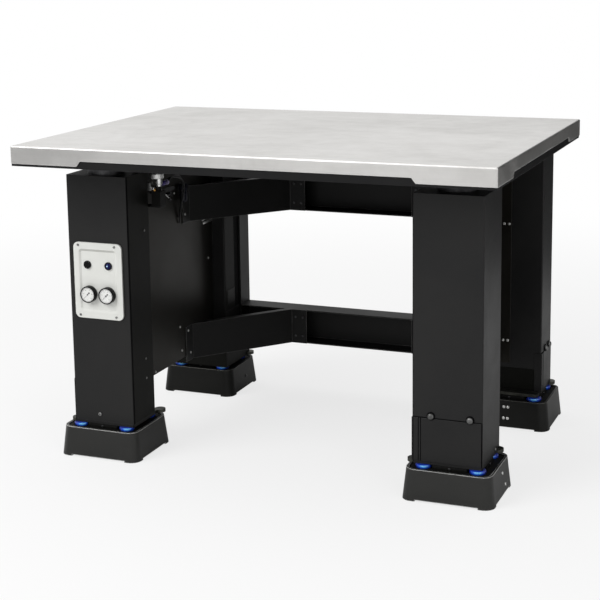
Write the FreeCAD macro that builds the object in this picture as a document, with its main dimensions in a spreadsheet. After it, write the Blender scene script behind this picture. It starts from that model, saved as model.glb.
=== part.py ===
"""Vibration isolation laboratory bench with a stainless tabletop on four isolator legs.

Frame: +X along the front of the bench, +Y towards its back, +Z up. The origin lies on the floor under the
middle of the tabletop. All lengths are in millimetres.
"""
import FreeCAD
import Part
import os

import Sketcher
from FreeCAD import Placement, Rotation, Vector

# Driving dimensions: alias, value, what it is.
DIMENSIONS = (
    ("top_length", 1219.2, "tabletop length along X"),
    ("top_depth", 900, "tabletop depth along Y"),
    ("bench_height", 825, "floor to the work surface"),
    ("skin_sheet", 2, "stainless sheet of the tabletop"),
    ("skin_corner_drop", 44, "apron depth at the corners"),
    ("skin_middle_drop", 31, "apron depth along the notches"),
    ("notch_end_x", 184, "tabletop end to the lower end of a front notch"),
    ("notch_end_y", 140, "tabletop front to the lower end of a side notch"),
    ("notch_slant", 10, "run of a notch's slanted end"),
    ("notch_radius", 4, "rounding of the notch corners"),
    ("skin_edge_radius", 4, "outer rounding of the folded tray"),
    ("core_drop", 50, "work surface to the underside of the core"),
    ("leg_width", 170, "leg housing along X"),
    ("leg_depth_narrow", 116, "front left and back right housing along Y"),
    ("leg_depth_wide", 163, "front right and back left housing along Y"),
    ("leg_side_inset", 66, "tabletop end to a leg's outer face"),
    ("leg_front_inset", 146, "tabletop front to the front legs"),
    ("leg_back_inset", 19, "tabletop back to the back legs"),
    ("leg_bottom", 92, "floor to the bottom of the housings"),
    ("isolator_rise", 40, "top of the housings to the underside of the core"),
    ("leg_radius", 3, "bend radius of the housings"),
    ("foot_length", 226, "foot along X at the floor"),
    ("foot_depth", 200, "foot along Y at the floor"),
    ("foot_height", 77, "floor to the rim of a foot"),
    ("foot_taper", 5.6, "slope of a foot's sides in degrees"),
    ("foot_radius", 26, "rounding of a foot's upright edges"),
    ("foot_side_inset", 32, "tabletop end to a foot's outer edge"),
    ("foot_front_inset", 113, "tabletop front to the front feet"),
    ("foot_back_inset", 1, "tabletop back to the back feet"),
    ("foot_rim_width", 6, "width of the rim round a foot's top"),
    ("foot_rim_height", 3, "height of that rim"),
    ("foot_pad_size", 36, "side of the small corner pads under a foot"),
    ("foot_pad_height", 4, "height of those pads"),
    ("disc_radius", 20, "elastomer disc"),
    ("disc_spacing_x", 132, "between disc centres along X"),
    ("disc_spacing_y", 116, "between disc centres along Y"),
    ("base_plate", 8, "thickness of the plate under a leg"),
    ("ear_radius", 15, "rounded ears of that plate"),
    ("plate_setback", 12, "front edge of a foot's discs to the front of the plate over them"),
    ("plate_inset", 2, "leg's side faces to that plate"),
    ("front_ear_reach", 2, "how far the front ear's centre lies outside that plate"),
    ("cover_top", 198, "floor to the top edge of an access cover"),
    ("cover_sheet", 2, "sheet of the covers"),
    ("cover_gap", 3, "cover's plain edge to the leg's edge"),
    ("cover_flange", 18, "flange of a cover round the leg's edge"),
    ("seam_offset", 13.5, "flanged edge of a cover to the first line of its folded seam"),
    ("seam_width", 2.2, "width of each of the seam's two lines"),
    ("seam_spacing", 5.6, "between the starts of those lines"),
    ("seam_depth", 1.6, "depth of those lines"),
    ("screw_radius", 7.5, "thumb screw head"),
    ("screw_head", 6, "height of that head"),
    ("screw_rise", 6, "cover's top edge up to a thumb screw's centre"),
    ("screw_near", 45, "flanged edge to the first thumb screw"),
    ("screw_far", 30, "other edge to the second thumb screw"),
    ("screw_clearance", 1, "gap between a head and its notch"),
    ("column_radius", 48, "isolator column"),
    ("load_plate_length", 150, "load plate along X"),
    ("load_plate_depth", 96, "load plate along Y"),
    ("load_plate", 10, "thickness of the load plate"),
    ("side_sheet", 2.5, "sheet of the side plates"),
    ("side_inset", 38, "leg's inner face to the side plate"),
    ("side_flange", 46, "flange of a side plate"),
    ("side_bottom", 166, "floor to the side plates"),
    ("side_drop", 35, "top of the housings to the top of the side plates"),
    ("beam_depth", 63, "rear beams along Y"),
    ("beam_height", 100, "height of beams and braces"),
    ("beam_sheet", 3, "sheet of beams and braces"),
    ("lower_beam", 150, "floor to the lower beam"),
    ("upper_beam_drop", 190, "top of the housings to the underside of the upper beam"),
    ("upright_sheet", 5, "thickness of the rear frame's end plates"),
    ("brace_start", 80, "middle of the bench back to a brace's side flange"),
    ("brace_flange", 42, "side flange of a brace"),
    ("brace_reach", 207, "middle of the bench to a brace's beam end"),
    ("brace_end_flange", 47, "flange of a brace on the beam"),
    ("brace_lip", 15, "flanges along a brace's top and bottom edges"),
    ("panel_width", 137.5, "control panel along X"),
    ("panel_height", 197.5, "control panel upwards"),
    ("panel_sheet", 5, "thickness of the control panel"),
    ("panel_radius", 14, "corners of the control panel"),
    ("panel_drop", 171, "top of the housings to the top of the control panel"),
    ("field_width", 97, "flat floor of the panel's sunken field"),
    ("field_height", 152, "flat floor of that field upwards"),
    ("field_depth", 2, "depth of that field"),
    ("field_radius", 4, "corners of that field"),
    ("field_slope", 5.5, "width of the sloped border round that field"),
    ("field_fall", 1.8, "depth of that border"),
    ("button_radius", 10.5, "panel buttons"),
    ("button_reach", 6, "how far the buttons stand out"),
    ("button_spacing", 60, "between the buttons"),
    ("button_level", 139.5, "panel's bottom edge to the buttons"),
    ("gauge_radius", 21.5, "gauge cases"),
    ("gauge_reach", 15, "how far the gauges stand out"),
    ("gauge_bezel", 3, "bezel width"),
    ("gauge_recess", 4, "bezel's front to the dial"),
    ("gauge_spacing", 53, "between the gauges"),
    ("gauge_level", 64, "panel's bottom edge to the gauges"),
    ("dial_sheet", 1.5, "thickness of a dial"),
    ("valve_inward", 58, "side plate to the levelling valve's axis"),
    ("valve_back", 22, "front leg's back to the levelling valve's axis"),
    ("valve_pad_radius", 20.5, "pad that feels the tabletop"),
    ("valve_pad_sheet", 10, "thickness of that pad"),
    ("valve_pad_drop", 72, "underside of the core to the underside of that pad"),
    ("valve_stem_radius", 7, "stem of the valve"),
    ("valve_body_width", 26, "valve body along X"),
    ("valve_body_depth", 30, "valve body along Y"),
    ("valve_body_drop", 133, "underside of the core to the bottom of the valve body"),
    ("valve_body_height", 38, "valve body upwards"),
    ("bracket_sheet", 3, "sheet of the valve bracket"),
    ("bracket_drop", 40, "flange of the bracket on the side plate"),
    ("arm_length", 64, "valve arm along Y"),
    ("arm_width", 12, "valve arm along X"),
    ("arm_height", 8, "valve arm upwards"),
    ("tube_radius", 3, "air tube"),
    ("tube_run", 52, "valve body to the elbow of the air tube"),
    ("elbow_radius", 5, "elbow fitting of the air tube"),
    ("elbow_height", 14, "height of that fitting"),
)

# Lengths closer than this count as equal where an edge or a face is picked.
NEARLY = 0.01

doc = FreeCAD.newDocument("isolation_bench")
dims = doc.addObject("Spreadsheet::Sheet", "dims")
for row, (alias, number, meaning) in enumerate(DIMENSIONS, start=1):
    dims.set(f"A{row}", str(number))
    dims.setAlias(f"A{row}", alias)
    dims.set(f"B{row}", meaning)
doc.recompute()


def value(expression):
    """Number that an expression of the spreadsheet's aliases gives."""
    return float(dims.evalExpression(expression))


def bind(feature, **expressions):
    """Bind properties to expressions; a double underscore stands for the dot of a path."""
    for name, expression in expressions.items():
        feature.setExpression(name.replace("__", "."), expression)
    return feature


def new_body(label):
    """Empty body whose label names its file."""
    body = doc.addObject("PartDesign::Body", label)
    body.Label = label
    return body


def new_sketch(body, name, role, level=None):
    """Sketch on one of the body's origin planes, lifted along the plane's normal by an expression."""
    sketch = body.newObject("Sketcher::SketchObject", f"{body.Name}_{name}")
    plane = next(item for item in body.Origin.OriginFeatures if item.Role == role)
    sketch.AttachmentSupport = (plane, "")
    sketch.MapMode = "FlatFace"
    if level is not None:
        sketch.setExpression("AttachmentOffset.Base.z", level)
    return sketch


def pin_point(sketch, geometry, position, x, y):
    """Hold one point of a sketch at two expressions, measured from the sketch's origin."""
    for kind, expression in (("DistanceX", x), ("DistanceY", y)):
        constraint = Sketcher.Constraint(kind, -1, 1, geometry, position, value(expression))
        index = sketch.addConstraint(constraint)
        sketch.setExpression(f"Constraints[{index}]", expression)


def add_polygon(sketch, corners):
    """Closed outline through corners given as pairs of expressions."""
    points = [Vector(value(x), value(y), 0) for x, y in corners]
    first = sketch.GeometryCount
    count = len(points)
    for number, point in enumerate(points):
        sketch.addGeometry(Part.LineSegment(point, points[(number + 1) % count]))
    for number, (x, y) in enumerate(corners):
        following = first + (number + 1) % count
        sketch.addConstraint(Sketcher.Constraint("Coincident", first + number, 2, following, 1))
        pin_point(sketch, first + number, 1, x, y)
    return sketch


def add_rectangle(sketch, left, right, front, back):
    """Rectangle between four expressions."""
    return add_polygon(sketch, ((left, front), (right, front), (right, back), (left, back)))


def add_circle(sketch, x, y, radius):
    """Circle at two expressions with a radius expression."""
    circle = Part.Circle(Vector(value(x), value(y), 0), Vector(0, 0, 1), value(radius))
    geometry = sketch.addGeometry(circle)
    pin_point(sketch, geometry, 3, x, y)
    index = sketch.addConstraint(Sketcher.Constraint("Radius", geometry, value(radius)))
    sketch.setExpression(f"Constraints[{index}]", radius)
    return sketch


def add_pad(sketch, length):
    """Pad of a sketch by a length expression."""
    body = sketch.getParentGeoFeatureGroup()
    pad = body.newObject("PartDesign::Pad", f"{sketch.Name}_pad")
    pad.Profile = sketch
    bind(pad, Length=length)
    sketch.Visibility = False
    doc.recompute()
    return pad


def add_pocket(sketch, length=None, reverse=False):
    """Pocket of a sketch: by a length expression, or through everything on both sides without one."""
    body = sketch.getParentGeoFeatureGroup()
    before = body.Tip.Shape.Volume
    pocket = body.newObject("PartDesign::Pocket", f"{sketch.Name}_pocket")
    pocket.Profile = sketch
    pocket.Reversed = reverse
    if length is None:
        pocket.Midplane = True
        pocket.Type = "ThroughAll"
    else:
        bind(pocket, Length=length)
    doc.recompute()
    if pocket.Shape.Volume >= before:
        raise RuntimeError(f"{pocket.Name} cut nothing")
    return pocket


def add_fillet(body, radius, wanted):
    """Fillet of the tip's edges that a test picks."""
    base = body.Tip
    edges = [f"Edge{number}" for number, edge in enumerate(base.Shape.Edges, start=1) if wanted(edge)]
    fillet = body.newObject("PartDesign::Fillet", f"{body.Name}_fillet_{len(body.Group)}")
    fillet.Base = (base, edges)
    bind(fillet, Radius=radius)
    doc.recompute()
    return fillet


def add_draft(body, angle):
    """Lean the tip's upright faces inwards from the level of the body's own floor plane."""
    base = body.Tip
    faces = [f"Face{number}" for number, face in enumerate(base.Shape.Faces, start=1)
             if abs(face.normalAt(0, 0).z) < NEARLY]
    draft = body.newObject("PartDesign::Draft", f"{body.Name}_draft")
    draft.Base = (base, faces)
    draft.NeutralPlane = (next(item for item in body.Origin.OriginFeatures if item.Role == "XY_Plane"), [""])
    bind(draft, Angle=angle)
    doc.recompute()
    if draft.Shape.Volume >= base.Shape.Volume:
        raise RuntimeError(f"{draft.Name} leans outwards")
    return draft


def add_chamfer(body, width, depth, wanted):
    """Chamfer of the tip's edges that a test picks, wide on the outer face and deep into the body."""
    base = body.Tip
    edges = [f"Edge{number}" for number, edge in enumerate(base.Shape.Edges, start=1) if wanted(edge)]
    chamfer = body.newObject("PartDesign::Chamfer", f"{body.Name}_chamfer")
    chamfer.Base = (base, edges)
    chamfer.ChamferType = "Two distances"
    bind(chamfer, Size=width, Size2=depth)
    doc.recompute()
    return chamfer


def runs_along(edge, axis):
    """Whether an edge is straight and runs along the axis with that number."""
    box = edge.BoundBox
    length = (box.XLength, box.YLength, box.ZLength)[axis]
    return edge.Length > NEARLY and abs(edge.Length - length) < NEARLY


def primitive(kind, name, **expressions):
    """Part primitive with its sizes and place bound to expressions."""
    return bind(doc.addObject(f"Part::{kind}", name), **expressions)


def fuse(label, shapes):
    """One object that holds several primitives."""
    fusion = doc.addObject("Part::MultiFuse", label)
    fusion.Label = label
    fusion.Shapes = shapes
    return fusion


HALF_LENGTH = "dims.top_length / 2"
HALF_DEPTH = "dims.top_depth / 2"
CORE_BOTTOM = "(dims.bench_height - dims.core_drop)"
LEG_TOP = f"({CORE_BOTTOM} - dims.isolator_rise)"
SIDE_TOP = f"({LEG_TOP} - dims.side_drop)"
LOWER_BEAM = "dims.lower_beam"
UPPER_BEAM = f"({LEG_TOP} - dims.upper_beam_drop)"
LEG_OUTER = f"({HALF_LENGTH} - dims.leg_side_inset)"
LEG_INNER = f"({LEG_OUTER} - dims.leg_width)"
LEG_FRONT = f"(dims.leg_front_inset - {HALF_DEPTH})"
LEG_BACK = f"({HALF_DEPTH} - dims.leg_back_inset)"
FOOT_X = f"({HALF_LENGTH} - dims.foot_side_inset - dims.foot_length / 2)"
FOOT_FRONT_Y = f"(dims.foot_front_inset + dims.foot_depth / 2 - {HALF_DEPTH})"
FOOT_BACK_Y = f"({HALF_DEPTH} - dims.foot_back_inset - dims.foot_depth / 2)"
WEB = f"({LEG_INNER} + dims.side_inset)"
BEAM_FRONT = f"({LEG_BACK} - dims.beam_depth)"
DISC_TOP = "(dims.leg_bottom - dims.base_plate)"
DISC_BOTTOM = "(dims.foot_height - dims.foot_rim_height)"
FOOT_RIM_INSET = "(dims.foot_height * tan(dims.foot_taper) + dims.foot_rim_width)"


class Corner:
    """Expressions of one leg's place: its four faces and the centre of its foot."""

    def __init__(self, name, side, back, depth):
        self.name = name
        self.left = LEG_INNER if side > 0 else f"-{LEG_OUTER}"
        self.right = LEG_OUTER if side > 0 else f"-{LEG_INNER}"
        self.front = f"({LEG_BACK} - {depth})" if back else LEG_FRONT
        self.rear = LEG_BACK if back else f"({LEG_FRONT} + {depth})"
        self.middle_x = f"({self.left} + {self.right}) / 2"
        self.middle_y = f"({self.front} + {self.rear}) / 2"
        self.foot_x = FOOT_X if side > 0 else f"-{FOOT_X}"
        self.foot_y = FOOT_BACK_Y if back else FOOT_FRONT_Y


FRONT_LEFT = Corner("front_left", -1, False, "dims.leg_depth_narrow")
FRONT_RIGHT = Corner("front_right", 1, False, "dims.leg_depth_wide")
BACK_LEFT = Corner("back_left", -1, True, "dims.leg_depth_wide")
BACK_RIGHT = Corner("back_right", 1, True, "dims.leg_depth_narrow")
CORNERS = (FRONT_LEFT, FRONT_RIGHT, BACK_LEFT, BACK_RIGHT)


def tabletop_skin():
    """Folded stainless tray: deep apron at the corners, notched along the middle of each side."""
    body = new_body("tabletop_skin")
    outline = new_sketch(body, "outline", "XY_Plane", "dims.bench_height - dims.skin_corner_drop")
    add_rectangle(outline, f"-{HALF_LENGTH}", HALF_LENGTH, f"-{HALF_DEPTH}", HALF_DEPTH)
    add_pad(outline, "dims.skin_corner_drop")
    height = value("dims.bench_height")
    add_fillet(body, "dims.skin_edge_radius", lambda edge: runs_along(edge, 2) or (
        edge.BoundBox.ZMin > height - NEARLY))
    hollow = new_sketch(body, "hollow", "XY_Plane", "dims.bench_height - dims.skin_corner_drop")
    inner_x = f"({HALF_LENGTH} - dims.skin_sheet)"
    inner_y = f"({HALF_DEPTH} - dims.skin_sheet)"
    add_rectangle(hollow, f"-{inner_x}", inner_x, f"-{inner_y}", inner_y)
    add_pocket(hollow, "dims.skin_corner_drop - dims.skin_sheet", reverse=True)
    low = "dims.bench_height - dims.skin_corner_drop"
    high = "dims.bench_height - dims.skin_middle_drop"
    for name, role, half, end in (("front", "XZ_Plane", HALF_LENGTH, "dims.notch_end_x"),
                                  ("side", "YZ_Plane", HALF_DEPTH, "dims.notch_end_y")):
        notch = new_sketch(body, name, role)
        wide = f"({half} - {end})"
        short = f"({half} - {end} - dims.notch_slant)"
        add_polygon(notch, ((f"-{wide}", low), (wide, low), (short, high), (f"-{short}", high)))
        add_pocket(notch)
    add_fillet(body, "dims.notch_radius", lambda edge: (
        runs_along(edge, 0) or runs_along(edge, 1)) and abs(edge.Length - value("dims.skin_sheet")) < NEARLY)
    return body


def tabletop_core():
    """Black damped core that fills the tray and reaches a little below it."""
    body = new_body("tabletop_core")
    outline = new_sketch(body, "outline", "XY_Plane", CORE_BOTTOM)
    inner_x = f"({HALF_LENGTH} - dims.skin_sheet)"
    inner_y = f"({HALF_DEPTH} - dims.skin_sheet)"
    add_rectangle(outline, f"-{inner_x}", inner_x, f"-{inner_y}", inner_y)
    add_pad(outline, "dims.core_drop - dims.skin_sheet")
    return body


def leg(corner):
    """Closed sheet housing round an isolator."""
    body = new_body(f"leg_{corner.name}")
    outline = new_sketch(body, "outline", "XY_Plane", "dims.leg_bottom")
    add_rectangle(outline, corner.left, corner.right, corner.front, corner.rear)
    add_pad(outline, f"{LEG_TOP} - dims.leg_bottom")
    add_fillet(body, "dims.leg_radius", lambda edge: runs_along(edge, 2))
    return body


def base_plate(corner):
    """Plate under a leg, over the discs, with two rounded ears on opposite corners."""
    label = f"base_plate_{corner.name}"
    back = f"({corner.foot_y} + dims.disc_spacing_y / 2 + dims.disc_radius)"
    front = f"({corner.foot_y} - dims.disc_spacing_y / 2 - dims.disc_radius + dims.plate_setback)"
    plate = primitive("Box", f"{label}_plate", Length="dims.leg_width - 2 * dims.plate_inset",
                      Width=f"{back} - {front}", Height="dims.base_plate",
                      Placement__Base__x=f"{corner.left} + dims.plate_inset",
                      Placement__Base__y=front, Placement__Base__z=DISC_TOP)
    ears = [primitive("Cylinder", f"{label}_{name}", Radius="dims.ear_radius", Height="dims.base_plate",
                      Placement__Base__x=x, Placement__Base__y=y, Placement__Base__z=DISC_TOP)
            for name, x, y in (
                ("front_ear", f"{corner.left} - dims.front_ear_reach", f"{front} + dims.ear_radius"),
                ("back_ear", corner.right, back))]
    return fuse(label, [plate] + ears)


def foot(corner):
    """Tapered pedestal with a raised rim round its top and four small pads beneath."""
    body = new_body(f"foot_{corner.name}")
    outline = new_sketch(body, "outline", "XY_Plane")
    half_x = "dims.foot_length / 2"
    half_y = "dims.foot_depth / 2"
    add_rectangle(outline, f"-{half_x}", half_x, f"-{half_y}", half_y)
    add_pad(outline, "dims.foot_height")
    add_draft(body, "dims.foot_taper")
    relief_x = "(dims.foot_length / 2 - dims.foot_pad_size)"
    relief_y = "(dims.foot_depth / 2 - dims.foot_pad_size)"
    for name, across, along in (("relief_x", relief_x, half_y), ("relief_y", half_x, relief_y)):
        relief = new_sketch(body, name, "XY_Plane")
        add_rectangle(relief, f"-{across}", across, f"-{along}", along)
        add_pocket(relief, "dims.foot_pad_height", reverse=True)
    recess = new_sketch(body, "recess", "XY_Plane", DISC_BOTTOM)
    rim_x = f"({half_x} - {FOOT_RIM_INSET})"
    rim_y = f"({half_y} - {FOOT_RIM_INSET})"
    add_rectangle(recess, f"-{rim_x}", rim_x, f"-{rim_y}", rim_y)
    add_pocket(recess, "dims.foot_rim_height", reverse=True)
    rim = value("dims.foot_rim_height")
    add_fillet(body, "dims.foot_radius - dims.foot_rim_width", lambda edge: (
        runs_along(edge, 2) and abs(edge.Length - rim) < NEARLY))
    height = value("dims.foot_height")
    add_fillet(body, "dims.foot_radius", lambda edge: edge.BoundBox.ZLength > height - NEARLY)
    return bind(body, Placement__Base__x=corner.foot_x, Placement__Base__y=corner.foot_y)


def blue_discs():
    """Sixteen elastomer discs, four between each foot and the plate above it."""
    discs = []
    for corner in CORNERS:
        for column in (-1, 1):
            for row in (-1, 1):
                discs.append(primitive(
                    "Cylinder", f"disc_{corner.name}_{len(discs)}", Radius="dims.disc_radius",
                    Height=f"{DISC_TOP} - {DISC_BOTTOM}",
                    Placement__Base__x=f"{corner.foot_x} + {column} * dims.disc_spacing_x / 2",
                    Placement__Base__y=f"{corner.foot_y} + {row} * dims.disc_spacing_y / 2",
                    Placement__Base__z=DISC_BOTTOM))
    return fuse("blue_discs", discs)


class CoverPlace:
    """Where a leg's access cover lies: the corner it starts from, its turn about Z and its width."""

    def __init__(self, corner, x, y, turn, width):
        self.corner, self.x, self.y, self.turn, self.width = corner, x, y, turn, width


COVER_PLACES = (
    CoverPlace(FRONT_LEFT, FRONT_LEFT.left, FRONT_LEFT.rear, -90, "dims.leg_depth_narrow"),
    CoverPlace(FRONT_RIGHT, FRONT_RIGHT.left, FRONT_RIGHT.front, 0, "dims.leg_width"),
    CoverPlace(BACK_LEFT, BACK_LEFT.left, BACK_LEFT.rear, -90, "dims.leg_depth_wide"),
    CoverPlace(BACK_RIGHT, BACK_RIGHT.right, BACK_RIGHT.front, 90, "dims.leg_depth_narrow"),
)
SCREW_LEVEL = "(dims.cover_top + dims.screw_rise)"


def place_cover(feature, place):
    """Turn a feature about Z and bind it to the corner that its cover starts from."""
    feature.Placement = Placement(Vector(0, 0, 0), Rotation(Vector(0, 0, 1), place.turn))
    return bind(feature, Placement__Base__x=place.x, Placement__Base__y=place.y)


def screw_offsets(place):
    """Distances of the two thumb screws from the cover's flanged edge."""
    return ("dims.screw_near", f"({place.width} - dims.screw_far)")


def cover(place):
    """Access cover low on a leg, folded round one edge, with a seam and notches under two thumb screws."""
    body = new_body(f"cover_{place.corner.name}")
    outline = new_sketch(body, "outline", "XY_Plane", "dims.leg_bottom")
    sheet = "dims.cover_sheet"
    end = f"({place.width} - dims.cover_gap)"
    add_polygon(outline, ((f"-{sheet}", f"-{sheet}"), (end, f"-{sheet}"), (end, "0"), ("0", "0"),
                          ("0", "dims.cover_flange"), (f"-{sheet}", "dims.cover_flange")))
    add_pad(outline, "dims.cover_top - dims.leg_bottom")
    seam = new_sketch(body, "seam", "XY_Plane", "dims.leg_bottom")
    for start in ("dims.seam_offset", "(dims.seam_offset + dims.seam_spacing)"):
        add_rectangle(seam, start, f"{start} + dims.seam_width", f"-{sheet}", f"dims.seam_depth - {sheet}")
    add_pocket(seam, "dims.cover_top - dims.leg_bottom", reverse=True)
    notches = new_sketch(body, "notches", "XZ_Plane")
    for offset in screw_offsets(place):
        add_circle(notches, offset, SCREW_LEVEL, "dims.screw_radius + dims.screw_clearance")
    add_pocket(notches)
    return place_cover(body, place)


def thumb_screws():
    """Round heads of the thumb screws that hold the covers, two on each leg."""
    heads = []
    for place in COVER_PLACES:
        for offset in screw_offsets(place):
            head = primitive("Cylinder", f"screw_{len(heads)}", Radius="dims.screw_radius",
                             Height="dims.screw_head + dims.cover_sheet")
            turn = Rotation(Vector(0, 0, 1), place.turn)
            along = turn.multVec(Vector(1, 0, 0))
            head.Placement = Placement(Vector(0, 0, 0), turn * Rotation(Vector(1, 0, 0), 90))
            heads.append(bind(head, Placement__Base__x=f"{place.x} + {along.x:.0f} * {offset}",
                              Placement__Base__y=f"{place.y} + {along.y:.0f} * {offset}",
                              Placement__Base__z=SCREW_LEVEL))
    return fuse("thumb_screws", heads)


def isolator(corner):
    """Isolator column that stands out of a leg and carries the tabletop on a load plate."""
    label = f"isolator_{corner.name}"
    column = primitive("Cylinder", f"{label}_column", Radius="dims.column_radius",
                       Height=f"{CORE_BOTTOM} - dims.load_plate - {LEG_TOP}",
                       Placement__Base__x=corner.middle_x, Placement__Base__y=corner.middle_y,
                       Placement__Base__z=LEG_TOP)
    plate = primitive("Box", f"{label}_plate", Length="dims.load_plate_length", Width="dims.load_plate_depth",
                      Height="dims.load_plate",
                      Placement__Base__x=f"{corner.middle_x} - dims.load_plate_length / 2",
                      Placement__Base__y=f"{corner.middle_y} - dims.load_plate_depth / 2",
                      Placement__Base__z=f"{CORE_BOTTOM} - dims.load_plate")
    return fuse(label, [column, plate])


def side_plate(name, side, front, rear):
    """Channel between a front and a back leg, its flanges turned outwards onto them."""
    body = new_body(f"side_plate_{name}")
    inner = f"{side} * {WEB}"
    outer = f"{side} * ({WEB} + dims.side_sheet)"
    edge = f"{side} * ({WEB} + dims.side_flange)"
    outline = new_sketch(body, "outline", "XY_Plane", "dims.side_bottom")
    add_polygon(outline, ((inner, front), (edge, front), (edge, f"{front} + dims.side_sheet"),
                          (outer, f"{front} + dims.side_sheet"), (outer, f"{rear} - dims.side_sheet"),
                          (edge, f"{rear} - dims.side_sheet"), (edge, rear), (inner, rear)))
    add_pad(outline, f"{SIDE_TOP} - dims.side_bottom")
    return body


def rear_beam(label, level):
    """Channel between the back legs, open to the front."""
    body = new_body(label)
    half = f"({LEG_INNER} - dims.upright_sheet)"
    top = f"({level} + dims.beam_height)"
    outline = new_sketch(body, "outline", "YZ_Plane", f"-{half}")
    add_polygon(outline, ((BEAM_FRONT, level), (LEG_BACK, level), (LEG_BACK, top), (BEAM_FRONT, top),
                          (BEAM_FRONT, f"{top} - dims.beam_sheet"),
                          (f"{LEG_BACK} - dims.beam_sheet", f"{top} - dims.beam_sheet"),
                          (f"{LEG_BACK} - dims.beam_sheet", f"{level} + dims.beam_sheet"),
                          (BEAM_FRONT, f"{level} + dims.beam_sheet")))
    add_pad(outline, f"2 * {half}")
    return body


def upright(name, side):
    """End plate of the rear frame, flat on a back leg's inner face."""
    outer = f"{side} * {LEG_INNER}"
    inner = f"{side} * ({LEG_INNER} - dims.upright_sheet)"
    body = new_body(f"upright_{name}")
    outline = new_sketch(body, "outline", "XY_Plane", LOWER_BEAM)
    add_rectangle(outline, outer, inner, BEAM_FRONT, LEG_BACK)
    add_pad(outline, f"{SIDE_TOP} - {LOWER_BEAM}")
    return body


def brace(label, side, level):
    """Bent plate from a side plate diagonally back to a rear beam, with lips along its top and bottom."""
    body = new_body(label)
    sheet = "dims.beam_sheet"
    start = "dims.brace_start"
    bend = f"({start} + dims.brace_flange)"
    slope = f"atan2({BEAM_FRONT} - {bend}; {WEB} - dims.brace_reach)"
    near = f"({WEB} - {sheet})"
    end = "(dims.brace_reach - dims.brace_end_flange)"
    corners = ((WEB, start), (WEB, bend), ("dims.brace_reach", BEAM_FRONT), (end, BEAM_FRONT),
               (end, f"{BEAM_FRONT} - {sheet}"),
               (f"dims.brace_reach - {sheet} * tan({slope} / 2)", f"{BEAM_FRONT} - {sheet}"),
               (near, f"{bend} - {sheet} * tan(45 deg - {slope} / 2)"), (near, start))
    outline = new_sketch(body, "outline", "XY_Plane", level)
    add_polygon(outline, [(f"{side} * ({x})", y) for x, y in corners])
    add_pad(outline, "dims.beam_height")
    lip_corners = ((WEB, bend), ("dims.brace_reach", BEAM_FRONT),
                   (f"dims.brace_reach + dims.brace_lip / sin({slope})", BEAM_FRONT),
                   (WEB, f"{bend} + dims.brace_lip / cos({slope})"))
    for name, height in (("bottom_lip", level), ("top_lip", f"{level} + dims.beam_height - {sheet}")):
        lip = new_sketch(body, name, "XY_Plane", height)
        add_polygon(lip, [(f"{side} * ({x})", y) for x, y in lip_corners])
        add_pad(lip, sheet)
    return body


PANEL_X = FRONT_LEFT.middle_x
PANEL_BOTTOM = f"({LEG_TOP} - dims.panel_drop - dims.panel_height)"
PANEL_FACE = f"({FRONT_LEFT.front} - dims.panel_sheet + dims.field_depth)"


def control_panel():
    """White plate with rounded corners and a sunken field with sloped borders, on the front left leg."""
    body = new_body("control_panel")
    plate = new_sketch(body, "plate", "XZ_Plane", f"-{FRONT_LEFT.front}")
    add_rectangle(plate, "-dims.panel_width / 2", "dims.panel_width / 2", "0", "dims.panel_height")
    add_pad(plate, "dims.panel_sheet")
    add_fillet(body, "dims.panel_radius", lambda edge: runs_along(edge, 1))
    field = new_sketch(body, "field", "XZ_Plane", f"dims.panel_sheet - {FRONT_LEFT.front}")
    margin = "(dims.panel_height - dims.field_height) / 2"
    add_rectangle(field, "-dims.field_width / 2", "dims.field_width / 2", margin, f"dims.panel_height - {margin}")
    add_pocket(field, "dims.field_depth")
    half = value("dims.field_width / 2")
    add_fillet(body, "dims.field_radius", lambda edge: (
        runs_along(edge, 1) and abs(edge.BoundBox.Center.x) < half + NEARLY))
    rim = value(f"{FRONT_LEFT.front} - dims.panel_sheet")
    add_chamfer(body, "dims.field_slope", "dims.field_fall", lambda edge: (
        abs(edge.BoundBox.Center.x) < half + NEARLY and edge.BoundBox.XLength < 2 * half + NEARLY
        and edge.BoundBox.YMax < rim + NEARLY and abs(edge.BoundBox.Center.z - value("dims.panel_height") / 2)
        < value("dims.field_height / 2") + NEARLY))
    return bind(body, Placement__Base__x=PANEL_X, Placement__Base__z=PANEL_BOTTOM)


def forward_cylinder(name, x, z, radius, start, length):
    """Cylinder that points to the front, from a plane at start."""
    cylinder = primitive("Cylinder", name, Radius=radius, Height=length)
    cylinder.Placement = Placement(Vector(0, 0, 0), Rotation(Vector(1, 0, 0), 90))
    return bind(cylinder, Placement__Base__x=x, Placement__Base__y=start, Placement__Base__z=z)


def panel_button(label, side):
    """Round push button on the panel's sunken field."""
    button = forward_cylinder(label, f"{PANEL_X} + {side} * dims.button_spacing / 2",
                              f"{PANEL_BOTTOM} + dims.button_level", "dims.button_radius",
                              PANEL_FACE, "dims.button_reach")
    button.Label = label
    return button


def gauges():
    """Two round gauge cases with a recess each, and the dials that lie in them."""
    cases, dials = [], []
    for side in (-1, 1):
        x = f"{PANEL_X} + {side} * dims.gauge_spacing / 2"
        z = f"{PANEL_BOTTOM} + dims.gauge_level"
        inner = "dims.gauge_radius - dims.gauge_bezel"
        floor = f"{PANEL_FACE} - dims.gauge_reach + dims.gauge_recess"
        case = forward_cylinder(f"gauge_case_{len(cases)}", x, z, "dims.gauge_radius", PANEL_FACE,
                                "dims.gauge_reach")
        well = forward_cylinder(f"gauge_well_{len(cases)}", x, z, inner, floor, "dims.gauge_recess")
        cut = doc.addObject("Part::Cut", f"gauge_cut_{len(cases)}")
        cut.Base, cut.Tool = case, well
        cases.append(cut)
        dials.append(forward_cylinder(f"gauge_dial_{len(dials)}", x, z, inner, floor, "dims.dial_sheet"))
    return fuse("gauge_cases", cases), fuse("gauge_dials", dials)


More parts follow.
